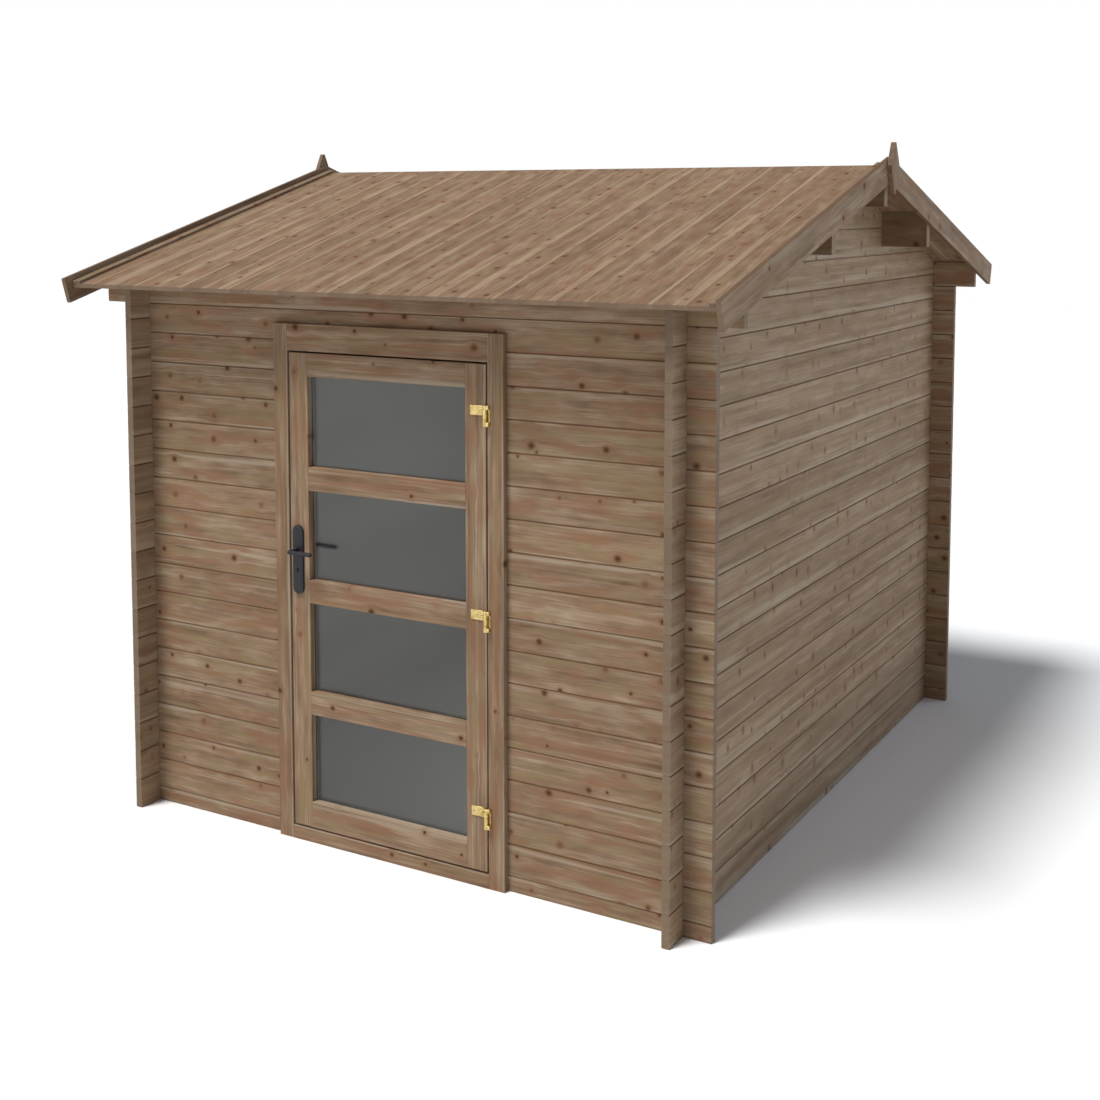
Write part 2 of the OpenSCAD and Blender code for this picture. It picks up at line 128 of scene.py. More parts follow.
class Grain(Enum):
    """Directions along and across the fibres of a board."""

    ALONG_X = ((1, 0, 0), (0, 0, 1))
    ALONG_Y = ((0, 1, 0), (0, 0, 1))
    UPRIGHT = ((0, 0, 1), (1, 0, 0))
    UPRIGHT_SIDE = ((0, 0, 1), (0, 1, 0))
    DOWN_FRONT = ((0, -math.cos(PITCH), -math.sin(PITCH)), (1, 0, 0))
    DOWN_BACK = ((0, math.cos(PITCH), -math.sin(PITCH)), (1, 0, 0))
    RAKE_FRONT = ((0, -math.cos(PITCH), -math.sin(PITCH)), (0, -math.sin(PITCH), math.cos(PITCH)))
    RAKE_BACK = ((0, math.cos(PITCH), -math.sin(PITCH)), (0, math.sin(PITCH), math.cos(PITCH)))


def linear(code: str) -> Colour:
    """Turn an sRGB hex value to linear colour.

    Args:
        code: Six hex digits after a hash sign.

    Returns:
        Linear red, green and blue with an alpha of 1.
    """
    parts = [int(code[i:i + 2], 16) / 255 for i in (1, 3, 5)]
    red, green, blue = (c / 12.92 if c <= 0.04045 else ((c + 0.055) / 1.055) ** 2.4 for c in parts)
    return red, green, blue, 1.0


def add_node(tree: bpy.types.NodeTree, kind: str, inputs: dict[str | int, Any] | None = None,
             **settings: Any) -> bpy.types.Node:
    """Add a node, set its properties and set or link its inputs.

    Args:
        tree: Tree that takes the node.
        kind: The node's type name.
        inputs: Values or sockets by the input's name or index.
        settings: Properties of the node.

    Returns:
        The new node.
    """
    node = tree.nodes.new(kind)
    for name, value in settings.items():
        setattr(node, name, value)
    for key, value in (inputs or {}).items():
        if isinstance(value, Socket):
            tree.links.new(value, node.inputs[key])
        else:
            node.inputs[key].default_value = value
    return node


def new_material(name: str) -> tuple[bpy.types.Material, bpy.types.NodeTree]:
    """Make a material with an empty node tree.

    Args:
        name: Name of the material.

    Returns:
        The material and its tree.
    """
    material = bpy.data.materials.new(name)
    material.use_nodes = True
    material.node_tree.nodes.clear()
    return material, material.node_tree


@dataclass(frozen=True)
class Layer:
    """Noise in the wood: its length and width in millimetres, its detail and its roughness."""

    length: float
    width: float
    detail: float
    roughness: float = 0.55


# Noises that lie stretched along the fibres. Real fibres are finer; these are as coarse
# as the picture can show.
LAYERS = {
    "bands": Layer(600, 34, 1.5),
    "clouds": Layer(90, 45, 2.0),
    "streaks": Layer(170, 7, 2.5),
    "fibres": Layer(60, 3.2, 2.0),
    "heart": Layer(140, 44, 2.0),
    "olive": Layer(190, 40, 2.0),
    "sap_and_highlight": Layer(700, 26, 2.0),
}
# Step in the noise from layer to layer, and a layer's width over its depth into the board
LAYER_STEP = (7.3, 3.1, 1.7)
LAYER_DEPTH_SHARE = 0.5


@dataclass(frozen=True)
class StainedPine:
    """Planed pine under a thin brown stain.

    The stain lets the wood through, so the eye meets soft bands and streaks along the
    fibres, patches of reddish heartwood and olive stain, pale sapwood beside the board's
    edges with a painted highlight along one edge, and dark knots that the fibres swerve round.
    The V grooves carry painted shade, with some stain pooled in them. The surface is matt,
    with a slight relief of the harder late wood.
    """

    name: str
    dark: str
    middle: str
    light: str
    red: str
    olive: str
    pale: str
    knot: str
    shadow: str
    end: str
    # Tone: length and width of the layers, contrast, each layer's part, spread from board to board
    stretch: float = 1.0
    fineness: float = 1.0
    contrast: float = 3.6
    shares: tuple[float, float, float, float] = (0.25, 0.34, 0.24, 0.17)
    tint_span: float = 0.08
    # Heartwood and olive patches: the noise where they start and are full, and their strength
    patch_range: Span = (0.47, 0.66)
    patch_share: float = 0.62
    # Pale rims, sapwood with a painted highlight along one edge: the same, how much the board's edges raise
    # them, and which edge has more of the painted highlight
    rim_range: Span = (0.74, 0.94)
    rim_share: float = 0.6
    rim_lift: float = 0.3
    highlight_side: float = 0.1
    # Strength of the red ring round a knot, of grey end grain and of the painted shade, with some pooled
    # stain, in the grooves
    ring_share: float = 0.5
    end_share: float = 0.8
    groove_share: float = 0.6
    # Knots: spacing and largest radius, the least radius, the core and the halo as shares of a radius,
    # crowding along and across the board, scatter, and the lots at which they are gone and full
    knot_spacing: float = 135 * MM
    knot_radius: float = 20 * MM
    knot_least_share: float = 0.4
    knot_core_share: float = 0.1
    knot_halo_share: float = 2.8
    knot_shape: Span = (0.9, 1.0)
    knot_scatter: float = 0.95
    knot_lots: Span = (0.15, 0.6)
    # Fibres: how far they give way to a knot, how far they wander, and the waves per metre of that
    swerve_share: float = -0.5
    wander: float = 12 * MM
    wander_rate: Point = (1.3, 6.0, 6.0)
    # Surface: roughness of early and late wood, relief with its strength, and the stain's gloss
    roughness: Span = (0.87, 0.65)
    relief: float = 0.7 * MM
    relief_strength: float = 0.35
    fibre_relief_share: float = 0.6
    ior: float = 1.48
    gloss: float = 0.12

    def build(self) -> bpy.types.Material:
        """Build the wood, driven by the boards' own grain and marks.

        Returns:
            The material.
        """
        material, tree = new_material(self.name)
        grain = add_node(tree, "ShaderNodeAttribute", attribute_name="grain").outputs["Vector"]
        marks = {
            key: add_node(tree, "ShaderNodeAttribute", attribute_name=key).outputs["Fac"] for key in MARKS}
        knots, halo, fibre = self.knots(tree, grain)
        layers = self.layers(tree, fibre)
        tone = self.tone(tree, layers)
        colour = self.stain(tree, tone, layers, marks, knots, halo)
        self.surface(tree, colour, layers)
        return material

    def knots(self, tree: bpy.types.NodeTree, grain: Socket) -> tuple[Socket, Socket, Socket]:
        """Lay out knots and swerve the fibres round them.

        Args:
            tree: The material's tree.
            grain: Place along, across and through the fibres.

        Returns:
            Sockets of the knot mask, of the halo round it and of the swerved place.
        """
        size = self.knot_spacing
        along, across = self.knot_shape
        place = add_node(tree, "ShaderNodeVectorMath", {0: grain, 1: (along / size, across / size, 0.0)},
                         operation="MULTIPLY").outputs[0]
        cells = add_node(tree, "ShaderNodeTexVoronoi", {
            "Vector": place, "Scale": 1.0, "Randomness": self.knot_scatter}, voronoi_dimensions="2D")
        lots = add_node(tree, "ShaderNodeSeparateColor", {0: cells.outputs["Color"]}).outputs
        radius = add_node(tree, "ShaderNodeMapRange", {
            "Value": lots[0], "To Min": self.knot_least_share * self.knot_radius / size,
            "To Max": self.knot_radius / size}).outputs[0]
        core = add_node(tree, "ShaderNodeMath", {0: radius, 1: self.knot_core_share},
                        operation="MULTIPLY").outputs[0]
        wide = add_node(tree, "ShaderNodeMath", {0: radius, 1: self.knot_halo_share},
                        operation="MULTIPLY").outputs[0]
        depth = add_node(tree, "ShaderNodeMapRange", {
            "Value": lots[1], "From Min": self.knot_lots[0], "From Max": self.knot_lots[1]}).outputs[0]
        knots, halo = (
            add_node(tree, "ShaderNodeMapRange", {
                "Value": cells.outputs["Distance"], "From Min": core, "From Max": reach,
                "To Min": strength, "To Max": 0.0}, interpolation_type="SMOOTHSTEP").outputs[0]
            for reach, strength in ((radius, depth), (wide, 1.0)))

        away = add_node(tree, "ShaderNodeVectorMath", {0: place, 1: cells.outputs["Position"]},
                        operation="SUBTRACT").outputs[0]
        away_across = add_node(tree, "ShaderNodeSeparateXYZ", {0: away}).outputs["Y"]
        push = add_node(tree, "ShaderNodeMath", {0: away_across, 1: self.swerve_share * size},
                        operation="MULTIPLY").outputs[0]
        push = add_node(tree, "ShaderNodeMath", {0: push, 1: halo}, operation="MULTIPLY").outputs[0]
        slow = add_node(tree, "ShaderNodeVectorMath", {0: grain, 1: self.wander_rate},
                        operation="MULTIPLY").outputs[0]
        drift = add_node(tree, "ShaderNodeTexNoise", {
            "Vector": slow, "Scale": 1.0, "Detail": 1.0}).outputs[0]
        push = add_node(tree, "ShaderNodeMath", {0: drift, 1: self.wander, 2: push},
                        operation="MULTIPLY_ADD").outputs[0]
        shift = add_node(tree, "ShaderNodeCombineXYZ", {"Y": push}).outputs[0]
        fibre = add_node(tree, "ShaderNodeVectorMath", {0: grain, 1: shift}, operation="ADD").outputs[0]
        return knots, halo, fibre

    def layers(self, tree: bpy.types.NodeTree, fibre: Socket) -> dict[str, Socket]:
        """Add the noises that lie stretched along the fibres.

        Args:
            tree: The material's tree.
            fibre: Swerved place along, across and through the fibres.

        Returns:
            A socket for each layer by its name.
        """
        made = {}
        for index, (key, layer) in enumerate(LAYERS.items()):
            length = layer.length * (self.stretch * MM)
            width = layer.width * (self.fineness * MM)
            place = add_node(tree, "ShaderNodeVectorMath", {
                0: fibre, 1: (1 / length, 1 / width, LAYER_DEPTH_SHARE / width),
                2: [index * step for step in LAYER_STEP]}, operation="MULTIPLY_ADD").outputs[0]
            made[key] = add_node(tree, "ShaderNodeTexNoise", {
                "Vector": place, "Scale": 1.0, "Detail": layer.detail,
                "Roughness": layer.roughness}).outputs[0]
        return made

    def tone(self, tree: bpy.types.NodeTree, layers: dict[str, Socket]) -> Socket:
        """Mix the bands, clouds, streaks and fibres to the wood's brown.

        Args:
            tree: The material's tree.
            layers: Sockets of the noises.

        Returns:
            Socket of the colour.
        """
        tone = 0.0
        for key, share in zip(("bands", "clouds", "streaks", "fibres"), self.shares):
            tone = add_node(tree, "ShaderNodeMath", {0: layers[key], 1: share, 2: tone},
                            operation="MULTIPLY_ADD").outputs[0]
        reach = MIDDLE / self.contrast
        tone = add_node(tree, "ShaderNodeMapRange", {
            "Value": tone, "From Min": MIDDLE - reach, "From Max": MIDDLE + reach}).outputs[0]
        ramp = add_node(tree, "ShaderNodeValToRGB", {"Fac": tone})
        ramp.color_ramp.elements[0].color = linear(self.dark)
        ramp.color_ramp.elements[1].color = linear(self.light)
        ramp.color_ramp.elements.new(MIDDLE).color = linear(self.middle)
        return ramp.outputs["Color"]

    def stain(self, tree: bpy.types.NodeTree, colour: Socket, layers: dict[str, Socket],
              marks: dict[str, Socket], knots: Socket, halo: Socket) -> Socket:
        """Lay patches, pale rims with their painted highlight, knots, end grain and the painted shade of
        the grooves over the brown.

        Args:
            tree: The material's tree.
            colour: Socket of the brown.
            layers: Sockets of the noises.
            marks: Sockets of the values that the boards' faces carry.
            knots: Socket of the knot mask.
            halo: Socket of the halo round the knots.

        Returns:
            Socket of the finished colour.
        """
        # Pale rims: sapwood beside the board's edges, raised most along one edge as a painted highlight
        edge = add_node(tree, "ShaderNodeMath", {0: marks["rise"], 1: self.highlight_side},
                        operation="ADD").outputs[0]
        edge = add_node(tree, "ShaderNodeMath", {0: edge}, operation="ABSOLUTE").outputs[0]
        rim = add_node(tree, "ShaderNodeMath", {0: edge, 1: self.rim_lift, 2: layers["sap_and_highlight"]},
                       operation="MULTIPLY_ADD").outputs[0]
        olive, heart, sap_and_highlight = (
            add_node(tree, "ShaderNodeMapRange", {
                "Value": noise, "From Min": low, "From Max": high, "To Max": share},
                interpolation_type="SMOOTHSTEP").outputs[0]
            for noise, (low, high), share in ((layers["olive"], self.patch_range, self.patch_share),
                                              (layers["heart"], self.patch_range, self.patch_share),
                                              (rim, self.rim_range, self.rim_share)))
        ring, end, groove = (
            add_node(tree, "ShaderNodeMath", {0: mask, 1: share}, operation="MULTIPLY").outputs[0]
            for mask, share in ((halo, self.ring_share), (marks["end"], self.end_share),
                                (marks["groove"], self.groove_share)))
        # The colours over the brown end with the painted shade of the grooves, with some stain pooled in
        # them
        for factor, code in ((olive, self.olive), (heart, self.red), (sap_and_highlight, self.pale), (ring, self.red),
                             (knots, self.knot), (end, self.end), (groove, self.shadow)):
            colour = add_node(tree, "ShaderNodeMix", {FACTOR: factor, UNDER: colour, OVER: linear(code)},
                              data_type="RGBA").outputs[MIXED]
        value = add_node(tree, "ShaderNodeMath", {0: marks["tint"], 1: self.tint_span, 2: 1.0},
                         operation="MULTIPLY_ADD").outputs[0]
        return add_node(tree, "ShaderNodeHueSaturation", {"Value": value, "Color": colour}).outputs[0]

    def surface(self, tree: bpy.types.NodeTree, colour: Socket, layers: dict[str, Socket]) -> None:
        """Add the relief of the late wood, the roughness and the shader.

        Args:
            tree: The material's tree.
            colour: Socket of the finished colour.
            layers: Sockets of the noises.
        """
        relief = add_node(tree, "ShaderNodeMath", {
            0: layers["fibres"], 1: self.fibre_relief_share, 2: layers["streaks"]},
            operation="MULTIPLY_ADD").outputs[0]
        bump = add_node(tree, "ShaderNodeBump", {
            "Height": relief, "Strength": self.relief_strength, "Distance": self.relief}).outputs[0]
        haze = add_node(tree, "ShaderNodeMapRange", {
            "Value": layers["streaks"], "To Min": self.roughness[0],
            "To Max": self.roughness[1]}).outputs[0]
        shader = add_node(tree, "ShaderNodeBsdfPrincipled", {
            "Base Color": colour, "Roughness": haze, "Normal": bump, "IOR": self.ior,
            "Specular IOR Level": self.gloss})
        add_node(tree, "ShaderNodeOutputMaterial", {"Surface": shader.outputs[0]})


@dataclass(frozen=True)
class FloatGlass:
    """Grey float glass, matted a little and coated against mirroring.

    The eye meets an even grey, with what lies close behind it as a soft dark form.
    """

    name: str = "float_glass"
    colour: str = "#b0bac2"
    roughness: float = 0.2
    ior: float = 1.45
    gloss: float = 0.05
    wave: float = 180 * MM
    wave_depth: float = 0.5 * MM
    wave_strength: float = 0.01

    def build(self) -> bpy.types.Material:
        """Build the glass, with the slight waviness of a cheap pane.

        Returns:
            The material.
        """
        material, tree = new_material(self.name)
        place = add_node(tree, "ShaderNodeTexCoord").outputs["Object"]
        waves = add_node(tree, "ShaderNodeTexNoise", {
            "Vector": place, "Scale": 1 / self.wave, "Detail": 1.0}).outputs[0]
        bump = add_node(tree, "ShaderNodeBump", {
            "Height": waves, "Strength": self.wave_strength, "Distance": self.wave_depth}).outputs[0]
        shader = add_node(tree, "ShaderNodeBsdfPrincipled", {
            "Base Color": linear(self.colour), "Roughness": self.roughness, "IOR": self.ior,
            "Specular IOR Level": self.gloss, "Transmission Weight": 1.0, "Normal": bump})
        add_node(tree, "ShaderNodeOutputMaterial", {"Surface": shader.outputs[0]})
        return material


@dataclass(frozen=True)
class PlatedBrass:
    """Brass-plated steel: pale yellow metal, bright but hazed by handling."""

    name: str = "plated_brass"
    bright: str = "#d9c487"
    dull: str = "#b89a56"
    cloud: float = 12 * MM
    cloud_range: Span = (0.42, 0.68)
    roughness: Span = (0.24, 0.46)
    relief: float = 0.2 * MM
    relief_strength: float = 0.15

    def build(self) -> bpy.types.Material:
        """Build the plating, with duller clouds a few millimetres across.

        Returns:
            The material.
        """
        material, tree = new_material(self.name)
        place = add_node(tree, "ShaderNodeTexCoord").outputs["Object"]
        clouds = add_node(tree, "ShaderNodeTexNoise", {
            "Vector": place, "Scale": 1 / self.cloud, "Detail": 4.0}).outputs[0]
        blot = add_node(tree, "ShaderNodeMapRange", {
            "Value": clouds, "From Min": self.cloud_range[0], "From Max": self.cloud_range[1]}).outputs[0]
        colour = add_node(tree, "ShaderNodeMix", {
            FACTOR: blot, UNDER: linear(self.bright), OVER: linear(self.dull)},
            data_type="RGBA").outputs[MIXED]
        haze = add_node(tree, "ShaderNodeMapRange", {
            "Value": clouds, "To Min": self.roughness[0], "To Max": self.roughness[1]}).outputs[0]
        bump = add_node(tree, "ShaderNodeBump", {
            "Height": clouds, "Strength": self.relief_strength, "Distance": self.relief}).outputs[0]
        shader = add_node(tree, "ShaderNodeBsdfPrincipled", {
            "Base Color": colour, "Metallic": 1.0, "Roughness": haze, "Normal": bump})
        add_node(tree, "ShaderNodeOutputMaterial", {"Surface": shader.outputs[0]})
        return material


@dataclass(frozen=True)
class CoatedIron:
    """Cast iron under a satin blue-black powder coat, with the coat's fine orange peel."""

    name: str = "powder_coated_iron"
    colour: str = "#17171b"
    worn: str = "#242429"
    rub: float = 22 * MM
    roughness: Span = (0.5, 0.3)
    peel: float = 1.6 * MM
    peel_depth: float = 0.1 * MM
    peel_strength: float = 0.2
    ior: float = 1.5
    gloss: float = 0.35

    def build(self) -> bpy.types.Material:
        """Build the coat, a little paler where hands have rubbed it.

        Returns:
            The material.
        """
        material, tree = new_material(self.name)
        place = add_node(tree, "ShaderNodeTexCoord").outputs["Object"]
        peel, rub = (
            add_node(tree, "ShaderNodeTexNoise", {
                "Vector": place, "Scale": 1 / size, "Detail": detail}).outputs[0]
            for size, detail in ((self.peel, 2.0), (self.rub, 3.0)))
        colour = add_node(tree, "ShaderNodeMix", {
            FACTOR: rub, UNDER: linear(self.colour), OVER: linear(self.worn)},
            data_type="RGBA").outputs[MIXED]
        haze = add_node(tree, "ShaderNodeMapRange", {
            "Value": rub, "To Min": self.roughness[0], "To Max": self.roughness[1]}).outputs[0]
        bump = add_node(tree, "ShaderNodeBump", {
            "Height": peel, "Strength": self.peel_strength, "Distance": self.peel_depth}).outputs[0]
        shader = add_node(tree, "ShaderNodeBsdfPrincipled", {
            "Base Color": colour, "Roughness": haze, "Normal": bump, "IOR": self.ior,
            "Specular IOR Level": self.gloss})
        add_node(tree, "ShaderNodeOutputMaterial", {"Surface": shader.outputs[0]})
        return material


@dataclass(frozen=True)
class MattGround:
    """Dry matt ground of the studio, which shows its colour and the shadows on it."""

    name: str
    colour: str

    def build(self) -> bpy.types.Material:
        """Build a surface that only scatters light.

        Returns:
            The material.
        """
        material, tree = new_material(self.name)
        shader = add_node(tree, "ShaderNodeBsdfDiffuse", {"Color": linear(self.colour)})
        add_node(tree, "ShaderNodeOutputMaterial", {"Surface": shader.outputs[0]})
        return material


WALL_PINE = StainedPine(
    name="stained_pine_wall", dark="#6a533e", middle="#8b735d", light="#aa967e", red="#8b664d",
    olive="#897756", pale="#ac9e8a", knot="#503622", shadow="#684a30", end="#776757",
    stretch=1.7, contrast=3.4)
# The side walls' logs are greyer, with less colour between them; the greyer tone is partly painted cool
# shade
SIDE_PINE = replace(
    WALL_PINE, name="stained_pine_side", dark="#6e5843", middle="#8d765f", light="#a7927a",
    red="#8b6d54", olive="#89775a", pale="#ab9d88", knot="#66513c", patch_share=0.35, rim_share=0.5,
    highlight_side=-0.3, stretch=2.0, contrast=3.0, shares=(0.4, 0.25, 0.2, 0.15), knot_shape=(1.1, 0.7),
    shadow="#62472f", groove_share=0.65)
# The purlins' faces, but for their end grain, are painted darker, as painted shade of their place deep
# under the roof
PURLIN_PINE_PAINTED_SHADE = replace(
    WALL_PINE, name="stained_pine_purlin", dark="#5c4735", middle="#78614d", light="#927f69",
    red="#785741", olive="#766549", pale="#948775", end="#84725f")
ROOF_PINE = StainedPine(
    name="stained_pine_roof", dark="#634b39", middle="#836a55", light="#a1896f", red="#835f48",
    olive="#857354", pale="#a58f76", knot="#50351f", shadow="#553f2b", end="#84705d",
    knot_spacing=115 * MM, knot_radius=18 * MM, stretch=1.1, groove_share=0.5, highlight_side=0.5,
    rim_share=0.65, patch_share=0.4, contrast=3.2, shares=(0.22, 0.34, 0.22, 0.22))
TRIM_PINE = StainedPine(
    name="stained_pine_trim", dark="#644e3c", middle="#836d59", light="#9d8972", red="#82634c",
    olive="#807054", pale="#9f927e", knot="#47301d", shadow="#5c432d", end="#7b6958",
    stretch=1.6, fineness=0.8, patch_share=0.45, rim_share=0.3, groove_share=0.8)
DOOR_PINE = StainedPine(
    name="stained_pine_door", dark="#644c38", middle="#8a725c", light="#ac977e", red="#8b654d",
    olive="#897756", pale="#ac9e8a", knot="#47301d", shadow="#684a30", end="#84705d",
    knot_spacing=170 * MM, stretch=2.2, fineness=0.7, tint_span=0.05, contrast=3.4)
# The door frame is of the same planed boards, a little darker than the leaf
FRAME_PINE = replace(
    DOOR_PINE, name="stained_pine_frame", dark="#614936", middle="#866d57", light="#a69077",
    red="#876148", olive="#847152", pale="#a69884")
GLASS = FloatGlass()
BRASS = PlatedBrass()
IRON = CoatedIron()
FLOOR = MattGround("matt_white_floor", "#fdfdfd")
SAND_PAINTED_SHADE = MattGround("dry_sand", "#b39d80")

Finish = StainedPine | FloatGlass | PlatedBrass | CoatedIron | MattGround


class Finishes:
    """Materials, each built once and shared by the pieces that carry it."""

    def __init__(self) -> None:
        """Start with no material built."""
        self.made: dict[str, bpy.types.Material] = {}

    def get(self, finish: Finish) -> bpy.types.Material:
        """Return the material of a finish, built on first use.

        Args:
            finish: The finish.

        Returns:
            Its material.
        """
        if finish.name not in self.made:
            self.made[finish.name] = finish.build()
        return self.made[finish.name]


FINISHES = Finishes()


def new_object(name: str, shape: bmesh.types.BMesh) -> bpy.types.Object:
    """Turn a bmesh to a mesh object in the scene, with outward normals.

    Args:
        name: Name of the object.
        shape: The bmesh, which is freed.

    Returns:
        The new object, at the origin.
    """
    bmesh.ops.recalc_face_normals(shape, faces=shape.faces[:])
    mesh = bpy.data.meshes.new(name)
    shape.to_mesh(mesh)
    shape.free()
    made = bpy.data.objects.new(name, mesh)
    bpy.context.scene.collection.objects.link(made)
    return made


def loft(outlines: Sequence[Sequence[Point]]) -> bmesh.types.BMesh:
    """Skin a closed shape over outlines that have the same number of points.

    Args:
        outlines: Points of each outline, from one end of the shape to the other.

    Returns:
        The shape, with a face over each end and outward normals.
    """
    shape = bmesh.new()
    rings = [[shape.verts.new(point) for point in outline] for outline in outlines]
    for ring in (rings[0], rings[-1]):
        shape.faces.new(ring)
    for low, high in zip(rings, rings[1:]):
        for i in range(len(low)):
            j = (i + 1) % len(low)
            shape.faces.new((low[i], low[j], high[j], high[i]))
    bmesh.ops.recalc_face_normals(shape, faces=shape.faces[:])
    return shape


def bevel(shape: bmesh.types.BMesh, edges: list[bmesh.types.BMEdge], width: float, rows: int = 1,
          clamp: bool = False) -> None:
    """Cut edges of a shape back to a bevel.

    Args:
        shape: The bmesh to change.
        edges: The edges.
        width: Width of the bevel.
        rows: Rows of faces across the bevel.
        clamp: Whether it narrows where edges lie close together.
    """
    bmesh.ops.bevel(shape, geom=edges, offset=width, offset_type="OFFSET", segments=rows, profile=ROUND,
                    affect="EDGES", clamp_overlap=clamp)


def soften(shape: bmesh.types.BMesh, width: float, rows: int = 1, angle: float = 30) -> None:
    """Break the sharp edges of a shape.

    Args:
        shape: The bmesh to change.
        width: Width of a broken edge.
        rows: Rows of faces across a broken edge.
        angle: Least angle in degrees between the faces of a sharp edge.
    """
    limit = math.radians(angle)
    sharp = [e for e in shape.edges if len(e.link_faces) == 2 and e.calc_face_angle() > limit]
    bevel(shape, sharp, width, rows, clamp=True)


def cad_copy(node: str) -> bmesh.types.BMesh:
    """Copy a CAD node's mesh, merged and with its flat faces whole.

    Args:
        node: Name of the CAD node.

    Returns:
        The copy as a bmesh.
    """
    shape = bmesh.new()
    shape.from_mesh(frame["nodes"][node].data)
    bmesh.ops.remove_doubles(shape, verts=shape.verts[:], dist=MERGE)
    bmesh.ops.dissolve_limit(shape, angle_limit=FLAT, verts=shape.verts[:], edges=shape.edges[:],
                             use_dissolve_boundaries=False)
    return shape


def draw_board(seed: int) -> tuple[Vector, float]:
    """Draw a board's own place in the wood pattern and its tint.

    Args:
        seed: Seed of the draw.

    Returns:
        The shift along, across and through the fibres, and a tint from -1 to 1.
    """
    draw = random.Random(seed)
    shift = Vector([draw.uniform(-PATTERN_SPAN, PATTERN_SPAN) for _ in range(3)])
    return shift, draw.uniform(-1, 1)


def write_grain(mesh: bpy.types.Mesh, grain: Grain, seed: int, joints: Sequence[float] = (),
                seam: Seam | None = None, plain: bool = False) -> None:
    """Write the attributes that the pine finishes read.

    Args:
        mesh: Mesh of one or more boards.
        grain: Direction of the fibres.
        seed: Seed of each board's own place in the pattern.
        joints: Heights that part the mesh into courses.
        seam: Says whether a place lies in a V groove, where sloping faces take its painted shade with some
            pooled stain.
        plain: Leave out each board's own shift and tint.
    """
    along, across = (Vector(axis) for axis in grain.value)
    axes = (along, across, along.cross(across))
    heights = [vertex.co.dot(across) for vertex in mesh.vertices]
    edges = [min(heights), *joints, max(heights)]
    boards = [
        (Vector(STILL), 0.0) if plain else draw_board(seed * COURSE_SEEDS + course)
        for course in range(len(joints) + 1)]
    places: list[float] = []
    marks: dict[str, list[float]] = {key: [] for key in MARKS}
    for face in mesh.polygons:
        course = sum(1 for z in joints if face.center.z > z)
        bottom, top = edges[course:course + 2]
        shift, tint = boards[course]
        end = abs(face.normal.dot(along)) > END_FACING
        sloped = abs(face.normal.dot(across)) > GROOVE_FACING and not end
        groove = sloped and seam is not None and seam(face.center)
        for corner in face.loop_indices:
            point = mesh.vertices[mesh.loops[corner].vertex_index].co
            places += [point.dot(axis) + move for axis, move in zip(axes, shift)]
            rise = (2 * point.dot(across) - bottom - top) / max(top - bottom, MERGE)
            for key, value in zip(MARKS, (tint, end, groove, rise)):
                marks[key].append(float(value))
    mesh.attributes.new("grain", "FLOAT_VECTOR", "CORNER").data.foreach_set("vector", places)
    for key, column in marks.items():
        mesh.attributes.new(key, "FLOAT", "CORNER").data.foreach_set("value", column)


def smooth(piece: bpy.types.Object, angle: float = 40) -> None:
    """Shade a piece smooth, but for edges sharper than an angle in degrees."""
    piece.data.shade_smooth()
    piece.data.set_sharp_from_angle(angle=math.radians(angle))


def dress(piece: bpy.types.Object, finish: Finish) -> None:
    """Give a piece its one material."""
    piece.data.materials.clear()
    piece.data.materials.append(FINISHES.get(finish))


def place_piece(piece: bpy.types.Object, body: Body, slot: Slot, *nodes: str) -> bpy.types.Object:
    """Set a piece on its body, in place of CAD nodes.

    Args:
        piece: The finished piece.
        body: Body that it moves with.
        slot: Not used.
        nodes: CAD nodes that it stands for.

    Returns:
        The piece.
    """
    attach(piece, body.value)
    if nodes:
        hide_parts(*nodes)
    return piece


def board_copy(node: str, body: Body, slot: Slot, finish: StainedPine, grain: Grain, seed: int,
               soft: float, joints: Sequence[float] = (), dark_edged: bool = False) -> bpy.types.Object:
    """Make the visible board of a CAD node: its shape with broken edges and a grain.

    Args:
        node: Name of the CAD node.
        body: Body that it moves with.
        slot: Slot of the record.
        finish: The pine finish.
        grain: Direction of its fibres.
        seed: Seed of its place in the pattern.
        soft: Width of its broken edges.
        joints: Heights of the V grooves between its courses.
        dark_edged: Whether its top and bottom edges take the dark colour of the grooves.

    Returns:
        The placed piece.
    """
    shape = cad_copy(node)
    soften(shape, soft)
    piece = new_object(f"{node}_wood", shape)

    def seam(place: Vector) -> bool:
        """Say whether a place lies in a groove or on an edge that takes the grooves' dark colour."""
        return dark_edged or any(abs(place.z - z) < GROOVE_REACH for z in joints)

    write_grain(piece.data, grain, seed, joints, seam)
    dress(piece, finish)
    return place_piece(piece, body, slot, node)


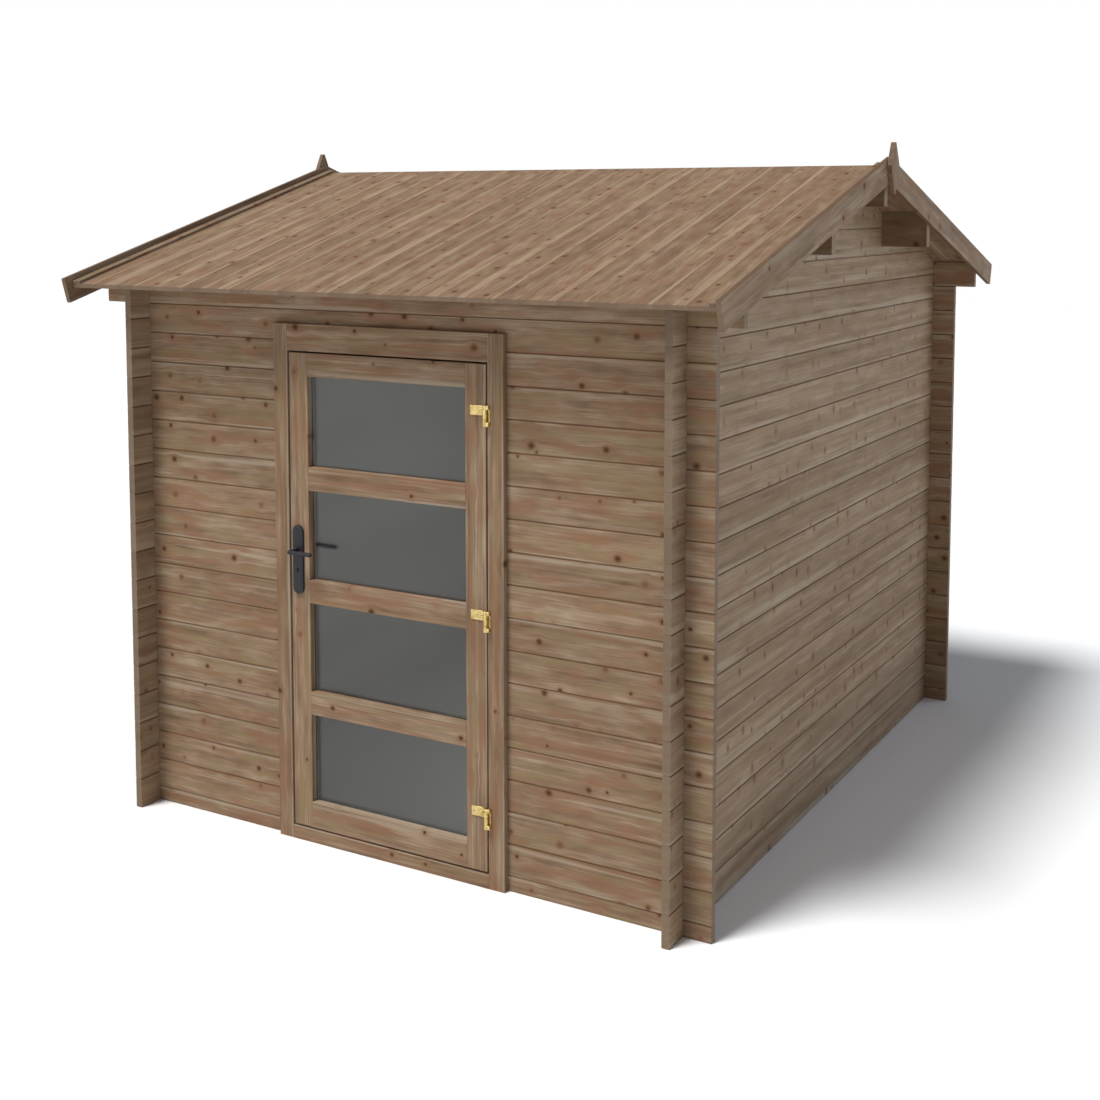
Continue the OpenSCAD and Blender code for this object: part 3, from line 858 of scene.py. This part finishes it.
class RowTree:
    """Geometry Nodes tree that repeats one piece along a line.

    Each copy gets a little play, its own place in the wood pattern and its own tint.
    The host's own mesh is kept as the first piece of the row.
    """

    SHIFT_SEED = 101
    TINT_SEED = 202

    def __init__(self) -> None:
        """Build the tree and keep the identifiers of its inputs."""
        self.tree = bpy.data.node_groups.new("row_of_boards", "GeometryNodeTree")
        self.tree.interface.new_socket("Geometry", in_out="OUTPUT", socket_type="NodeSocketGeometry")
        kinds = {
            "Geometry": "NodeSocketGeometry", "Unit": "NodeSocketObject", "Count": "NodeSocketInt",
            "Start": "NodeSocketVector", "Step": "NodeSocketVector", "Play": "NodeSocketVector",
            "Seed": "NodeSocketInt", "Material": "NodeSocketMaterial"}
        self.ids = {
            key: self.tree.interface.new_socket(key, in_out="INPUT", socket_type=kind).identifier
            for key, kind in kinds.items()}
        given = add_node(self.tree, "NodeGroupInput").outputs
        both = add_node(self.tree, "GeometryNodeJoinGeometry", {0: given["Geometry"]})
        self.tree.links.new(self.row(given), both.inputs[0])
        made = add_node(self.tree, "GeometryNodeRealizeInstances", {0: both.outputs[0]}).outputs[0]
        made = self.carry(made)
        made = add_node(self.tree, "GeometryNodeSetMaterial", {
            "Geometry": made, "Material": given["Material"]}).outputs[0]
        add_node(self.tree, "NodeGroupOutput", {0: made})

    def row(self, given: bpy.types.NodeOutputs) -> Socket:
        """Set the unit on a line of points and draw each copy's shift and tint.

        Args:
            given: Sockets of the tree's inputs.

        Returns:
            Socket of the instances.
        """
        line = add_node(self.tree, "GeometryNodeMeshLine", {
            "Count": given["Count"], "Start Location": given["Start"], "Offset": given["Step"]},
            mode="OFFSET").outputs[0]
        back = add_node(self.tree, "ShaderNodeVectorMath", {0: given["Play"], "Scale": -1.0},
                        operation="SCALE").outputs[0]
        play = add_node(self.tree, "FunctionNodeRandomValue", {
            0: back, 1: given["Play"], "Seed": given["Seed"]}, data_type="FLOAT_VECTOR").outputs[0]
        points = add_node(self.tree, "GeometryNodeSetPosition", {
            "Geometry": line, "Offset": play}).outputs[0]
        unit = add_node(self.tree, "GeometryNodeObjectInfo", {"Object": given["Unit"]}).outputs["Geometry"]
        row = add_node(self.tree, "GeometryNodeInstanceOnPoints", {
            "Points": points, "Instance": unit}).outputs[0]
        shift_seed, tint_seed = (
            add_node(self.tree, "ShaderNodeMath", {0: given["Seed"], 1: step}, operation="ADD").outputs[0]
            for step in (self.SHIFT_SEED, self.TINT_SEED))
        # Random Value takes the limits of a vector at 0 and 1, and those of a single value at 2 and 3
        shift = add_node(self.tree, "FunctionNodeRandomValue", {
            0: (-PATTERN_SPAN,) * 3, 1: (PATTERN_SPAN,) * 3, "Seed": shift_seed},
            data_type="FLOAT_VECTOR").outputs[0]
        shade = add_node(self.tree, "FunctionNodeRandomValue", {
            2: -1.0, 3: 1.0, "Seed": tint_seed}, data_type="FLOAT").outputs[1]
        for name, value, kind in (("shift", shift, "FLOAT_VECTOR"), ("shade", shade, "FLOAT")):
            row = add_node(self.tree, "GeometryNodeStoreNamedAttribute", {
                "Geometry": row, "Name": name, "Value": value},
                data_type=kind, domain="INSTANCE").outputs[0]
        return row

    def carry(self, made: Socket) -> Socket:
        """Add each copy's shift and tint to what its faces carry.

        Args:
            made: Socket of the realized row.

        Returns:
            Socket of the row with its own grain and tint.
        """
        for key, extra, kind, add in (("grain", "shift", "FLOAT_VECTOR", "ShaderNodeVectorMath"),
                                      ("tint", "shade", "FLOAT", "ShaderNodeMath")):
            own, more = (
                add_node(self.tree, "GeometryNodeInputNamedAttribute", {"Name": name},
                         data_type=kind).outputs[0]
                for name in (key, extra))
            total = add_node(self.tree, add, {0: own, 1: more}, operation="ADD").outputs[0]
            made = add_node(self.tree, "GeometryNodeStoreNamedAttribute", {
                "Geometry": made, "Name": key, "Value": total},
                data_type=kind, domain="CORNER").outputs[0]
            made = add_node(self.tree, "GeometryNodeRemoveAttribute", {
                "Geometry": made, "Name": extra}).outputs[0]
        return made

    def run(self, host: bpy.types.Object, unit: bpy.types.Object, **values: Any) -> bpy.types.Object:
        """Run the tree on a host and turn the result to a plain mesh.

        Args:
            host: Object whose mesh starts the row.
            unit: Object that is repeated, and then removed.
            values: Values of the tree's other inputs.

        Returns:
            The host with its finished mesh.
        """
        modifier = host.modifiers.new("row", "NODES")
        modifier.node_group = self.tree
        modifier[self.ids["Unit"]] = unit
        for key, value in values.items():
            modifier[self.ids[key]] = value
        return to_plain_mesh(host, unit)


def to_plain_mesh(host: bpy.types.Object, unit: bpy.types.Object) -> bpy.types.Object:
    """Replace a host's mesh by its evaluated result and drop its modifier.

    Args:
        host: Object with a Geometry Nodes modifier.
        unit: Object that the modifier repeats, which is removed.

    Returns:
        The host.
    """
    graph = bpy.context.evaluated_depsgraph_get()
    mesh = bpy.data.meshes.new_from_object(host.evaluated_get(graph), preserve_all_data_layers=True,
                                           depsgraph=graph)
    host.modifiers.clear()
    old = host.data
    host.data = mesh
    mesh.name = host.name
    bpy.data.meshes.remove(old)
    bpy.data.objects.remove(unit)
    return host


ROWS = RowTree()


@dataclass(frozen=True)
class Notch:
    """Notch of a log: its middle along the log, and its depth below and above."""

    middle: float
    below: float
    above: float


@dataclass(frozen=True)
class Wall:
    """Wall of logs: its CAD node, its logs' direction, which ends are crossed, and its seed."""

    node: str
    grain: Grain
    crossed: tuple[bool, bool]
    seed: int


@dataclass
class LogWalls:
    """Four walls of logs that are notched over each other at the corners."""

    course: float = COURSE
    thickness: float = 28 * MM
    notch_share: float = 0.25
    notch_gap: float = 0.3 * MM
    end_run: float = 100 * MM
    soft: float = 0.9 * MM
    play: float = 0.25 * MM
    walls: tuple[Wall, ...] = (
        Wall("front_wall_left", Grain.ALONG_X, (True, False), 11),
        Wall("front_wall_right", Grain.ALONG_X, (False, True), 23),
        Wall("back_wall", Grain.ALONG_X, (True, True), 37),
        Wall("left_wall", Grain.ALONG_Y, (True, True), 41),
        Wall("right_wall", Grain.ALONG_Y, (True, True), 59))

    def build(self) -> list[bpy.types.Object]:
        """Build the front wall's halves, the back wall and the side walls."""
        return [self.stack(wall) for wall in self.walls]

    def stack(self, wall: Wall) -> bpy.types.Object:
        """Stack one wall on its lowest log.

        The front and back walls start with half a log, so their courses lie between
        those of the side walls.

        Args:
            wall: The wall.

        Returns:
            The placed wall.
        """
        low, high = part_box(wall.node)
        axis = 0 if wall.grain is Grain.ALONG_X else 1
        span = (low[axis], high[axis])
        middle = (low[1 - axis] + high[1 - axis]) / 2
        first_h = self.course / 2 if axis == 0 else self.course
        count = round((high.z - first_h) / self.course)
        deep = self.course * self.notch_share + (0 if axis == 0 else self.notch_gap)
        inset = self.end_run + self.thickness / 2
        places = [p for p, used in zip((span[0] + inset, span[1] - inset), wall.crossed) if used]
        first_below = 0.0 if axis == 0 else deep
        host = self.log(f"{wall.node}_logs", span, middle, axis, first_h,
                        [Notch(p, first_below, deep) for p in places])
        write_grain(host.data, wall.grain, wall.seed, seam=self.edge_test(first_h))
        unit = self.log("log", span, middle, axis, self.course, [Notch(p, deep, deep) for p in places])
        write_grain(unit.data, wall.grain, wall.seed, seam=self.edge_test(self.course), plain=True)
        play = (0.0, self.play, 0.0) if axis == 0 else (self.play, 0.0, 0.0)
        finish = WALL_PINE if axis == 0 else SIDE_PINE
        ROWS.run(host, unit, Count=count, Start=(0.0, 0.0, first_h), Step=(0.0, 0.0, self.course),
                 Play=play, Seed=wall.seed, Material=FINISHES.get(finish))
        return place_piece(host, Body.SHED, Slot.WALL, wall.node)

    def edge_test(self, height: float) -> Seam:
        """Return a test for places in the grooves at a log's top or bottom edge."""
        return lambda place: place.z < GROOVE_REACH or place.z > height - GROOVE_REACH

    def log(self, name: str, span: Span, middle: float, axis: int, height: float,
            notches: Sequence[Notch]) -> bpy.types.Object:
        """Model one log with its crossing notches and chamfered long edges.

        Args:
            name: Name of the object.
            span: Its two ends along its length.
            middle: Place of its middle plane.
            axis: 0 where it runs along X, 1 along Y.
            height: Its height.
            notches: The notches, from the low end to the high end.

        Returns:
            The log, standing on Z = 0.
        """
        half = self.thickness / 2 + self.notch_gap
        under = [(span[0], 0.0)]
        over = [(span[0], height)]
        for notch in notches:
            for edge, line, depth in ((0.0, under, notch.below), (height, over, -notch.above)):
                if depth:
                    line += [(notch.middle - half, edge), (notch.middle - half, edge + depth),
                             (notch.middle + half, edge + depth), (notch.middle + half, edge)]
        outline = under + [(span[1], 0.0), (span[1], height)] + over[::-1]
        shape = loft([
            [(a, face, z) if axis == 0 else (face, a, z) for a, z in outline]
            for face in (middle - self.thickness / 2, middle + self.thickness / 2)])
        long_edges = [
            e for e in shape.edges
            if abs(e.verts[0].co[1 - axis] - e.verts[1].co[1 - axis]) < MERGE
            and (all(v.co.z < MERGE for v in e.verts) or all(v.co.z > height - MERGE for v in e.verts))]
        bevel(shape, long_edges, GROOVE)
        soften(shape, self.soft)
        return new_object(name, shape)


@dataclass
class TopLogs:
    """Lintel log, eaves logs, gables and purlins above the walls."""

    soft: float = 0.9 * MM
    lintel_z: float = 1848 * MM
    course: float = COURSE
    gable_z: float = 2016 * MM
    gable_courses: int = 5
    first_seed: int = 70

    def build(self) -> list[bpy.types.Object]:
        """Build the logs, gables and purlins.

        Returns:
            The placed pieces.
        """
        eaves_z = self.lintel_z + self.course
        eaves = (eaves_z, eaves_z + self.course)
        rows = [self.gable_z + i * self.course for i in range(self.gable_courses)]
        plan = (("front_lintel_log", Grain.ALONG_X, WALL_PINE, (self.lintel_z, eaves_z)),
                ("front_eaves_log", Grain.ALONG_X, WALL_PINE, eaves),
                ("back_eaves_log", Grain.ALONG_X, WALL_PINE, eaves),
                ("left_gable", Grain.ALONG_Y, SIDE_PINE, rows),
                ("right_gable", Grain.ALONG_Y, SIDE_PINE, rows),
                ("ridge_purlin", Grain.ALONG_X, PURLIN_PINE_PAINTED_SHADE, ()),
                ("front_purlin", Grain.ALONG_X, PURLIN_PINE_PAINTED_SHADE, ()),
                ("back_purlin", Grain.ALONG_X, PURLIN_PINE_PAINTED_SHADE, ()))
        return [
            board_copy(node, Body.SHED, Slot.WALL, finish, grain, self.first_seed + i, self.soft, joints)
            for i, (node, grain, finish, joints) in enumerate(plan)]


@dataclass
class BoardRoof:
    """Two slopes of tongued boards that run from the ridge to the eaves."""

    boards: int = 24
    thickness: float = 16 * MM
    seam: float = 1 * MM
    front_seed: int = 81
    back_seed: int = 97

    def build(self) -> list[bpy.types.Object]:
        """Build the front and the back slope."""
        return [self.slope("roof_front_slope", Grain.DOWN_FRONT, self.front_seed),
                self.slope("roof_back_slope", Grain.DOWN_BACK, self.back_seed)]

    def slope(self, node: str, grain: Grain, seed: int) -> bpy.types.Object:
        """Lay one slope board by board.

        Args:
            node: CAD node of the slope.
            grain: Direction down the slope.
            seed: Seed of the boards' pattern.

        Returns:
            The placed slope.
        """
        low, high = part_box(node)
        width = (high.x - low.x) / self.boards
        sign = -1 if grain is Grain.DOWN_FRONT else 1
        host = new_object(f"{node}_boards", bmesh.new())
        unit = self.board(low.x, width, sign, high.y - low.y, high.z)

        def edge(place: Vector) -> bool:
            """Say whether a place lies in the seam beside the board."""
            return place.x < low.x + self.seam or place.x > low.x + width - self.seam

        write_grain(unit.data, grain, seed, seam=edge, plain=True)
        ROWS.run(host, unit, Count=self.boards, Start=STILL, Step=(width, 0.0, 0.0), Play=STILL, Seed=seed,
                 Material=FINISHES.get(ROOF_PINE))
        return place_piece(host, Body.SHED, Slot.ROOF, node)

    def board(self, start: float, width: float, sign: int, run: float, ridge: float) -> bpy.types.Object:
        """Model one board, cut plumb at the ridge and square at the eaves.

        Args:
            start: Its low edge along X.
            width: Its width.
            sign: -1 for the front slope, 1 for the back slope.
            run: Distance from the ridge to its far corner.
            ridge: Height of its upper face at the ridge.

        Returns:
            The board.
        """
        slant, drop = math.sin(PITCH), math.cos(PITCH)
        eaves = ridge - run * math.tan(PITCH)
        outline = [(0.0, ridge - self.thickness / drop), (0.0, ridge), (run, eaves),
                   (run - self.thickness * slant, eaves - self.thickness * drop)]
        shape = loft([[(x, sign * y, z) for y, z in outline] for x in (start, start + width)])
        slopes = [
            e for e in shape.edges
            if abs(e.verts[0].co.x - e.verts[1].co.x) < MERGE
            and abs(e.verts[0].co.y - e.verts[1].co.y) > self.thickness]
        bevel(shape, slopes, self.seam)
        return new_object("roof_board", shape)


@dataclass
class GableTrim:
    """Bargeboards, verge laths and finials at both gables."""

    soft: float = 1.2 * MM
    first_seed: int = 110
    side_seeds: int = 10

    def build(self) -> list[bpy.types.Object]:
        """Build the four bargeboards, the four laths and the two finials.

        Returns:
            The placed pieces.
        """
        made = []
        for i, side in enumerate(("left", "right")):
            seed = self.first_seed + i * self.side_seeds
            plan = ((f"{side}_front_bargeboard", Grain.RAKE_FRONT, True),
                    (f"{side}_back_bargeboard", Grain.RAKE_BACK, True),
                    (f"{side}_finial", Grain.UPRIGHT_SIDE, False),
                    (f"{side}_front_verge_lath", Grain.DOWN_FRONT, False),
                    (f"{side}_back_verge_lath", Grain.DOWN_BACK, False))
            made += [
                board_copy(node, Body.SHED, Slot.TRIM, TRIM_PINE, grain, seed + j, self.soft,
                           dark_edged=dark_edged)
                for j, (node, grain, dark_edged) in enumerate(plan)]
        return made


@dataclass
class DoorFrame:
    """Jambs, head, sill and stops round the doorway."""

    soft: float = 1.2 * MM
    first_seed: int = 436

    def build(self) -> list[bpy.types.Object]:
        """Build the frame's pieces.

        Returns:
            The placed pieces.
        """
        plan = (("door_frame_left_jamb", Grain.UPRIGHT), ("door_frame_right_jamb", Grain.UPRIGHT),
                ("door_frame_head", Grain.ALONG_X), ("door_sill", Grain.ALONG_X),
                ("door_stops", Grain.UPRIGHT))
        return [
            board_copy(node, Body.SHED, Slot.DOOR, FRAME_PINE, grain, self.first_seed + i, self.soft)
            for i, (node, grain) in enumerate(plan)]


@dataclass
class DoorLeaf:
    """Stiles, rails and panes of the door leaf."""

    soft: float = 1.5 * MM
    first_seed: int = 1317

    def build(self) -> list[bpy.types.Object]:
        """Build the stiles and rails, and give the panes their glass.

        Returns:
            The placed pieces and the panes' CAD node.
        """
        plan = [("door_left_stile", Grain.UPRIGHT), ("door_right_stile", Grain.UPRIGHT)]
        plan += [
            (f"door_{rail}_rail", Grain.ALONG_X) for rail in ("bottom", "lower", "lock", "upper", "top")]
        made = [
            board_copy(node, Body.DOOR, Slot.DOOR, DOOR_PINE, grain, self.first_seed + i, self.soft)
            for i, (node, grain) in enumerate(plan)]
        panes = frame["nodes"]["door_panes"]
        dress(panes, GLASS)
        return made + [panes]


@dataclass
class Screws:
    """Cross-slotted screw heads in rows on the hinge flags and the handle plates."""

    radius: float = 4.0 * MM
    crown: float = 3.1 * MM
    height: float = 1.0 * MM
    slot_reach: float = 2.2 * MM
    slot_half: float = 0.6 * MM
    slot_floor: float = 0.3 * MM
    in_row: int = 2
    hinge_zs: tuple[float, float, float] = (267 * MM, 951.585 * MM, 1650 * MM)
    flag_in: float = 12 * MM
    flag_step: float = 24 * MM
    flag_thickness: float = 3 * MM
    plate_in: float = 12 * MM
    plate_seed: int = 7

    def build(self) -> list[bpy.types.Object]:
        """Set two screws on each flag and two on each plate.

        Returns:
            The placed rows of screws.
        """
        flags = new_object("hinge_flag_screws", bmesh.new())
        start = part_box("hinge_flags")[0].x + self.flag_in
        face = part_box("door_right_stile")[0].y - self.flag_thickness
        for i, z in enumerate(self.hinge_zs):
            ROWS.run(flags, self.head(-1), Count=self.in_row, Start=(start, face, z),
                     Step=(self.flag_step, 0.0, 0.0), Play=STILL, Seed=i, Material=FINISHES.get(BRASS))
        made = [place_piece(flags, Body.DOOR, Slot.BRASS)]
        for out, side in ((-1, "outside"), (1, "inside")):
            plate = new_object(f"handle_screws_{side}", bmesh.new())
            low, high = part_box(f"handle_plate_{side}")
            begin = ((low.x + high.x) / 2, low.y if out < 0 else high.y, low.z + self.plate_in)
            ROWS.run(plate, self.head(out), Count=self.in_row, Start=begin,
                     Step=(0.0, 0.0, high.z - low.z - 2 * self.plate_in), Play=STILL,
                     Seed=self.plate_seed + out, Material=FINISHES.get(IRON))
            made.append(place_piece(plate, Body.DOOR, Slot.IRON))
        return made

    def head(self, out: int) -> bpy.types.Object:
        """Model one screw head with a cross slot.

        Args:
            out: -1 where it looks to the front, 1 where it looks to the back.

        Returns:
            The head, seated at the origin.
        """
        reach, half = self.slot_reach, self.slot_half
        corner = ((reach, half), (half, half), (half, reach))
        cross = [
            (a * c - b * s, a * s + b * c)
            for c, s in ((1, 0), (0, 1), (-1, 0), (0, -1)) for a, b in corner]
        rim, crown = (
            [(a * size / math.hypot(a, b), b * size / math.hypot(a, b)) for a, b in cross]
            for size in (self.radius, self.crown))
        rows = ((rim, 0.0), (crown, self.height), (cross, self.height), (cross, self.slot_floor))
        return new_object("screw_head", loft([
            [(x, out * height, z) for x, z in outline] for outline, height in rows]))


@dataclass
class Ironwork:
    """Brass hinges and the black lever handle."""

    soft: float = 0.6 * MM
    plate_soft: float = 2.0 * MM
    plate_rows: int = 3
    sharp_angle: float = 50

    def build(self) -> list[bpy.types.Object]:
        """Build the hinges, the handle plates and the levers.

        Returns:
            The placed pieces and the spindle's CAD node.
        """
        made = []
        for node, body in (("hinge_brackets", Body.SHED), ("hinge_flags", Body.DOOR)):
            made.append(self.part(node, body, Slot.BRASS, BRASS, self.soft))
        for side in ("outside", "inside"):
            made.append(self.part(f"handle_plate_{side}", Body.DOOR, Slot.IRON, IRON, self.plate_soft,
                                  self.plate_rows))
            made.append(self.part(f"lever_{side}", Body.HANDLE, Slot.IRON, IRON, self.soft))
        spindle = frame["nodes"]["spindle"]
        dress(spindle, IRON)
        return made + [spindle]

    def part(self, node: str, body: Body, slot: Slot, finish: PlatedBrass | CoatedIron, soft: float,
             rows: int = 1) -> bpy.types.Object:
        """Make the visible piece of a metal CAD node, with broken edges.

        Args:
            node: Name of the CAD node.
            body: Body that it moves with.
            slot: Slot of the record.
            finish: Its metal.
            soft: Width of its broken edges.
            rows: Rows of faces across a broken edge.

        Returns:
            The placed piece.
        """
        shape = cad_copy(node)
        soften(shape, soft, rows, self.sharp_angle)
        piece = new_object(f"{node}_metal", shape)
        smooth(piece)
        dress(piece, finish)
        return place_piece(piece, body, slot, node)


@dataclass(frozen=True)
class Sun:
    """Soft distant light: its strength, its apparent size in degrees, the way to it and its tint."""

    name: str
    strength: float
    angle: float
    source: Point
    tint: str = WHITE


@dataclass
class Studio:
    """Pale floor, soft light and the camera at the picture's viewing angle."""

    # Sides of the floor and of the sand, and how far the sand lies above the floor
    floor_size: Span = (60.0, 60.0)
    sand_size: Span = (2.23, 2.69)
    sand_height: float = 1 * MM
    # Strength and tint of the sky, and the distant lights
    sky: float = 0.185
    sky_tint: str = "#f5f9ff"
    suns: tuple[Sun, ...] = (
        Sun("key_light", strength=2.93, angle=16, source=(-0.19, -0.374, 0.908)),
        Sun("fill_light", strength=1.6, angle=45, source=(0.72, 0.62, 0.04), tint="#d4e6ff"),
        Sun("front_light", strength=0.34, angle=60, source=(-0.3, -0.93, 0.2)))
    # Lamp in the room: its watts, its tint, its place, the way that its back faces, and its sides
    room: float = 50
    room_tint: str = "#c4deff"
    room_at: Point = (1.05, 0.0, 1.1)
    room_source: Point = (1.0, 0.0, 0.0)
    room_size: Span = (1.8, 1.4)
    # Camera: its place, its turn and tilt in degrees, lens and sensor in millimetres, and its shift
    camera_at: Point = (3.0959, -5.6149, 2.3305)
    yaw: float = 29.922
    tilt: float = -4.699
    lens: float = 49.35
    sensor: float = 36
    shift: float = -0.2

    def build(self) -> None:
        """Build the floor, the lights, the world and the camera."""
        self.ground("studio_floor", self.floor_size, 0.0, FLOOR)
        # The walls have no floor of their own, so sand lies inside them, darker than the white floor as
        # painted shade of the closed room
        self.ground("sand_bed", self.sand_size, self.sand_height, SAND_PAINTED_SHADE)
        for sun in self.suns:
            light = bpy.data.lights.new(sun.name, "SUN")
            light.energy = sun.strength
            light.angle = math.radians(sun.angle)
            self.hang(light, sun.source, sun.tint)
        self.room_lamp()
        self.world()
        self.camera()
        bpy.context.scene.view_settings.view_transform = "Standard"

    def ground(self, name: str, size: Span, height: float, finish: MattGround) -> None:
        """Lay a flat matt ground that takes the shadow.

        Args:
            name: Name of the object.
            size: Its sides along X and Y.
            height: Its height.
            finish: Its finish.
        """
        # A square of side 1, which is then drawn out to the two sides
        shape = bmesh.new()
        bmesh.ops.create_grid(shape, x_segments=1, y_segments=1, size=1 / 2)
        bmesh.ops.scale(shape, vec=(*size, 1.0), verts=shape.verts[:])
        bmesh.ops.translate(shape, vec=(0.0, 0.0, height), verts=shape.verts[:])
        ground = new_object(name, shape)
        dress(ground, finish)

    def hang(self, light: bpy.types.Light, source: Point, tint: str) -> bpy.types.Object:
        """Set a light in the scene, turned so that it shines from a direction.

        Args:
            light: The light.
            source: Direction towards it.
            tint: Its colour.

        Returns:
            The lamp, at the origin.
        """
        light.color = linear(tint)[:3]
        lamp = bpy.data.objects.new(light.name, light)
        lamp.rotation_euler = Vector(source).to_track_quat("Z", "Y").to_euler()
        bpy.context.scene.collection.objects.link(lamp)
        return lamp

    def room_lamp(self) -> None:
        """Hang an unseen broad lamp inside, so that the panes do not look into a black room."""
        light = bpy.data.lights.new("room_lamp", "AREA")
        light.energy = self.room
        light.shape = "RECTANGLE"
        light.size, light.size_y = self.room_size
        lamp = self.hang(light, self.room_source, self.room_tint)
        lamp.location = self.room_at
        for kind in ("camera", "glossy", "transmission"):
            setattr(lamp, f"visible_{kind}", False)

    def world(self) -> None:
        """Set a dim even sky that camera, mirror and glass rays see as white."""
        world = bpy.data.worlds.new("studio_world")
        bpy.context.scene.world = world
        world.use_nodes = True
        tree = world.node_tree
        tree.nodes.clear()
        rays = add_node(tree, "ShaderNodeLightPath").outputs
        seen = rays["Is Camera Ray"]
        for key in ("Is Glossy Ray", "Is Transmission Ray"):
            seen = add_node(tree, "ShaderNodeMath", {0: seen, 1: rays[key]}, operation="MAXIMUM").outputs[0]
        sky, white = (
            add_node(tree, "ShaderNodeBackground", {"Color": linear(tint), "Strength": strength}).outputs[0]
            for tint, strength in ((self.sky_tint, self.sky), (WHITE, 1.0)))
        both = add_node(tree, "ShaderNodeMixShader", {0: seen, 1: sky, 2: white})
        add_node(tree, "ShaderNodeOutputWorld", {"Surface": both.outputs[0]})

    def camera(self) -> None:
        """Set the camera at the picture's viewing angle."""
        data = bpy.data.cameras.new("camera")
        data.lens = self.lens
        data.sensor_width = self.sensor
        data.shift_y = self.shift
        camera = bpy.data.objects.new("camera", data)
        camera.location = self.camera_at
        camera.rotation_euler = (math.radians(90 + self.tilt), 0.0, math.radians(self.yaw))
        bpy.context.scene.collection.objects.link(camera)
        bpy.context.scene.camera = camera


def main() -> None:
    """Build every sub-assembly in order and report its pieces."""
    logging.basicConfig(level=logging.INFO, format="%(name)s: %(message)s")
    Studio().build()
    for assembly in (LogWalls(), TopLogs(), BoardRoof(), GableTrim(), DoorFrame(), DoorLeaf(), Ironwork(),
                     Screws()):
        for piece in assembly.build():
            LOG.info("%s: %s with %d faces", type(assembly).__name__, piece.name, len(piece.data.polygons))


if __name__ == "__main__":
    main()
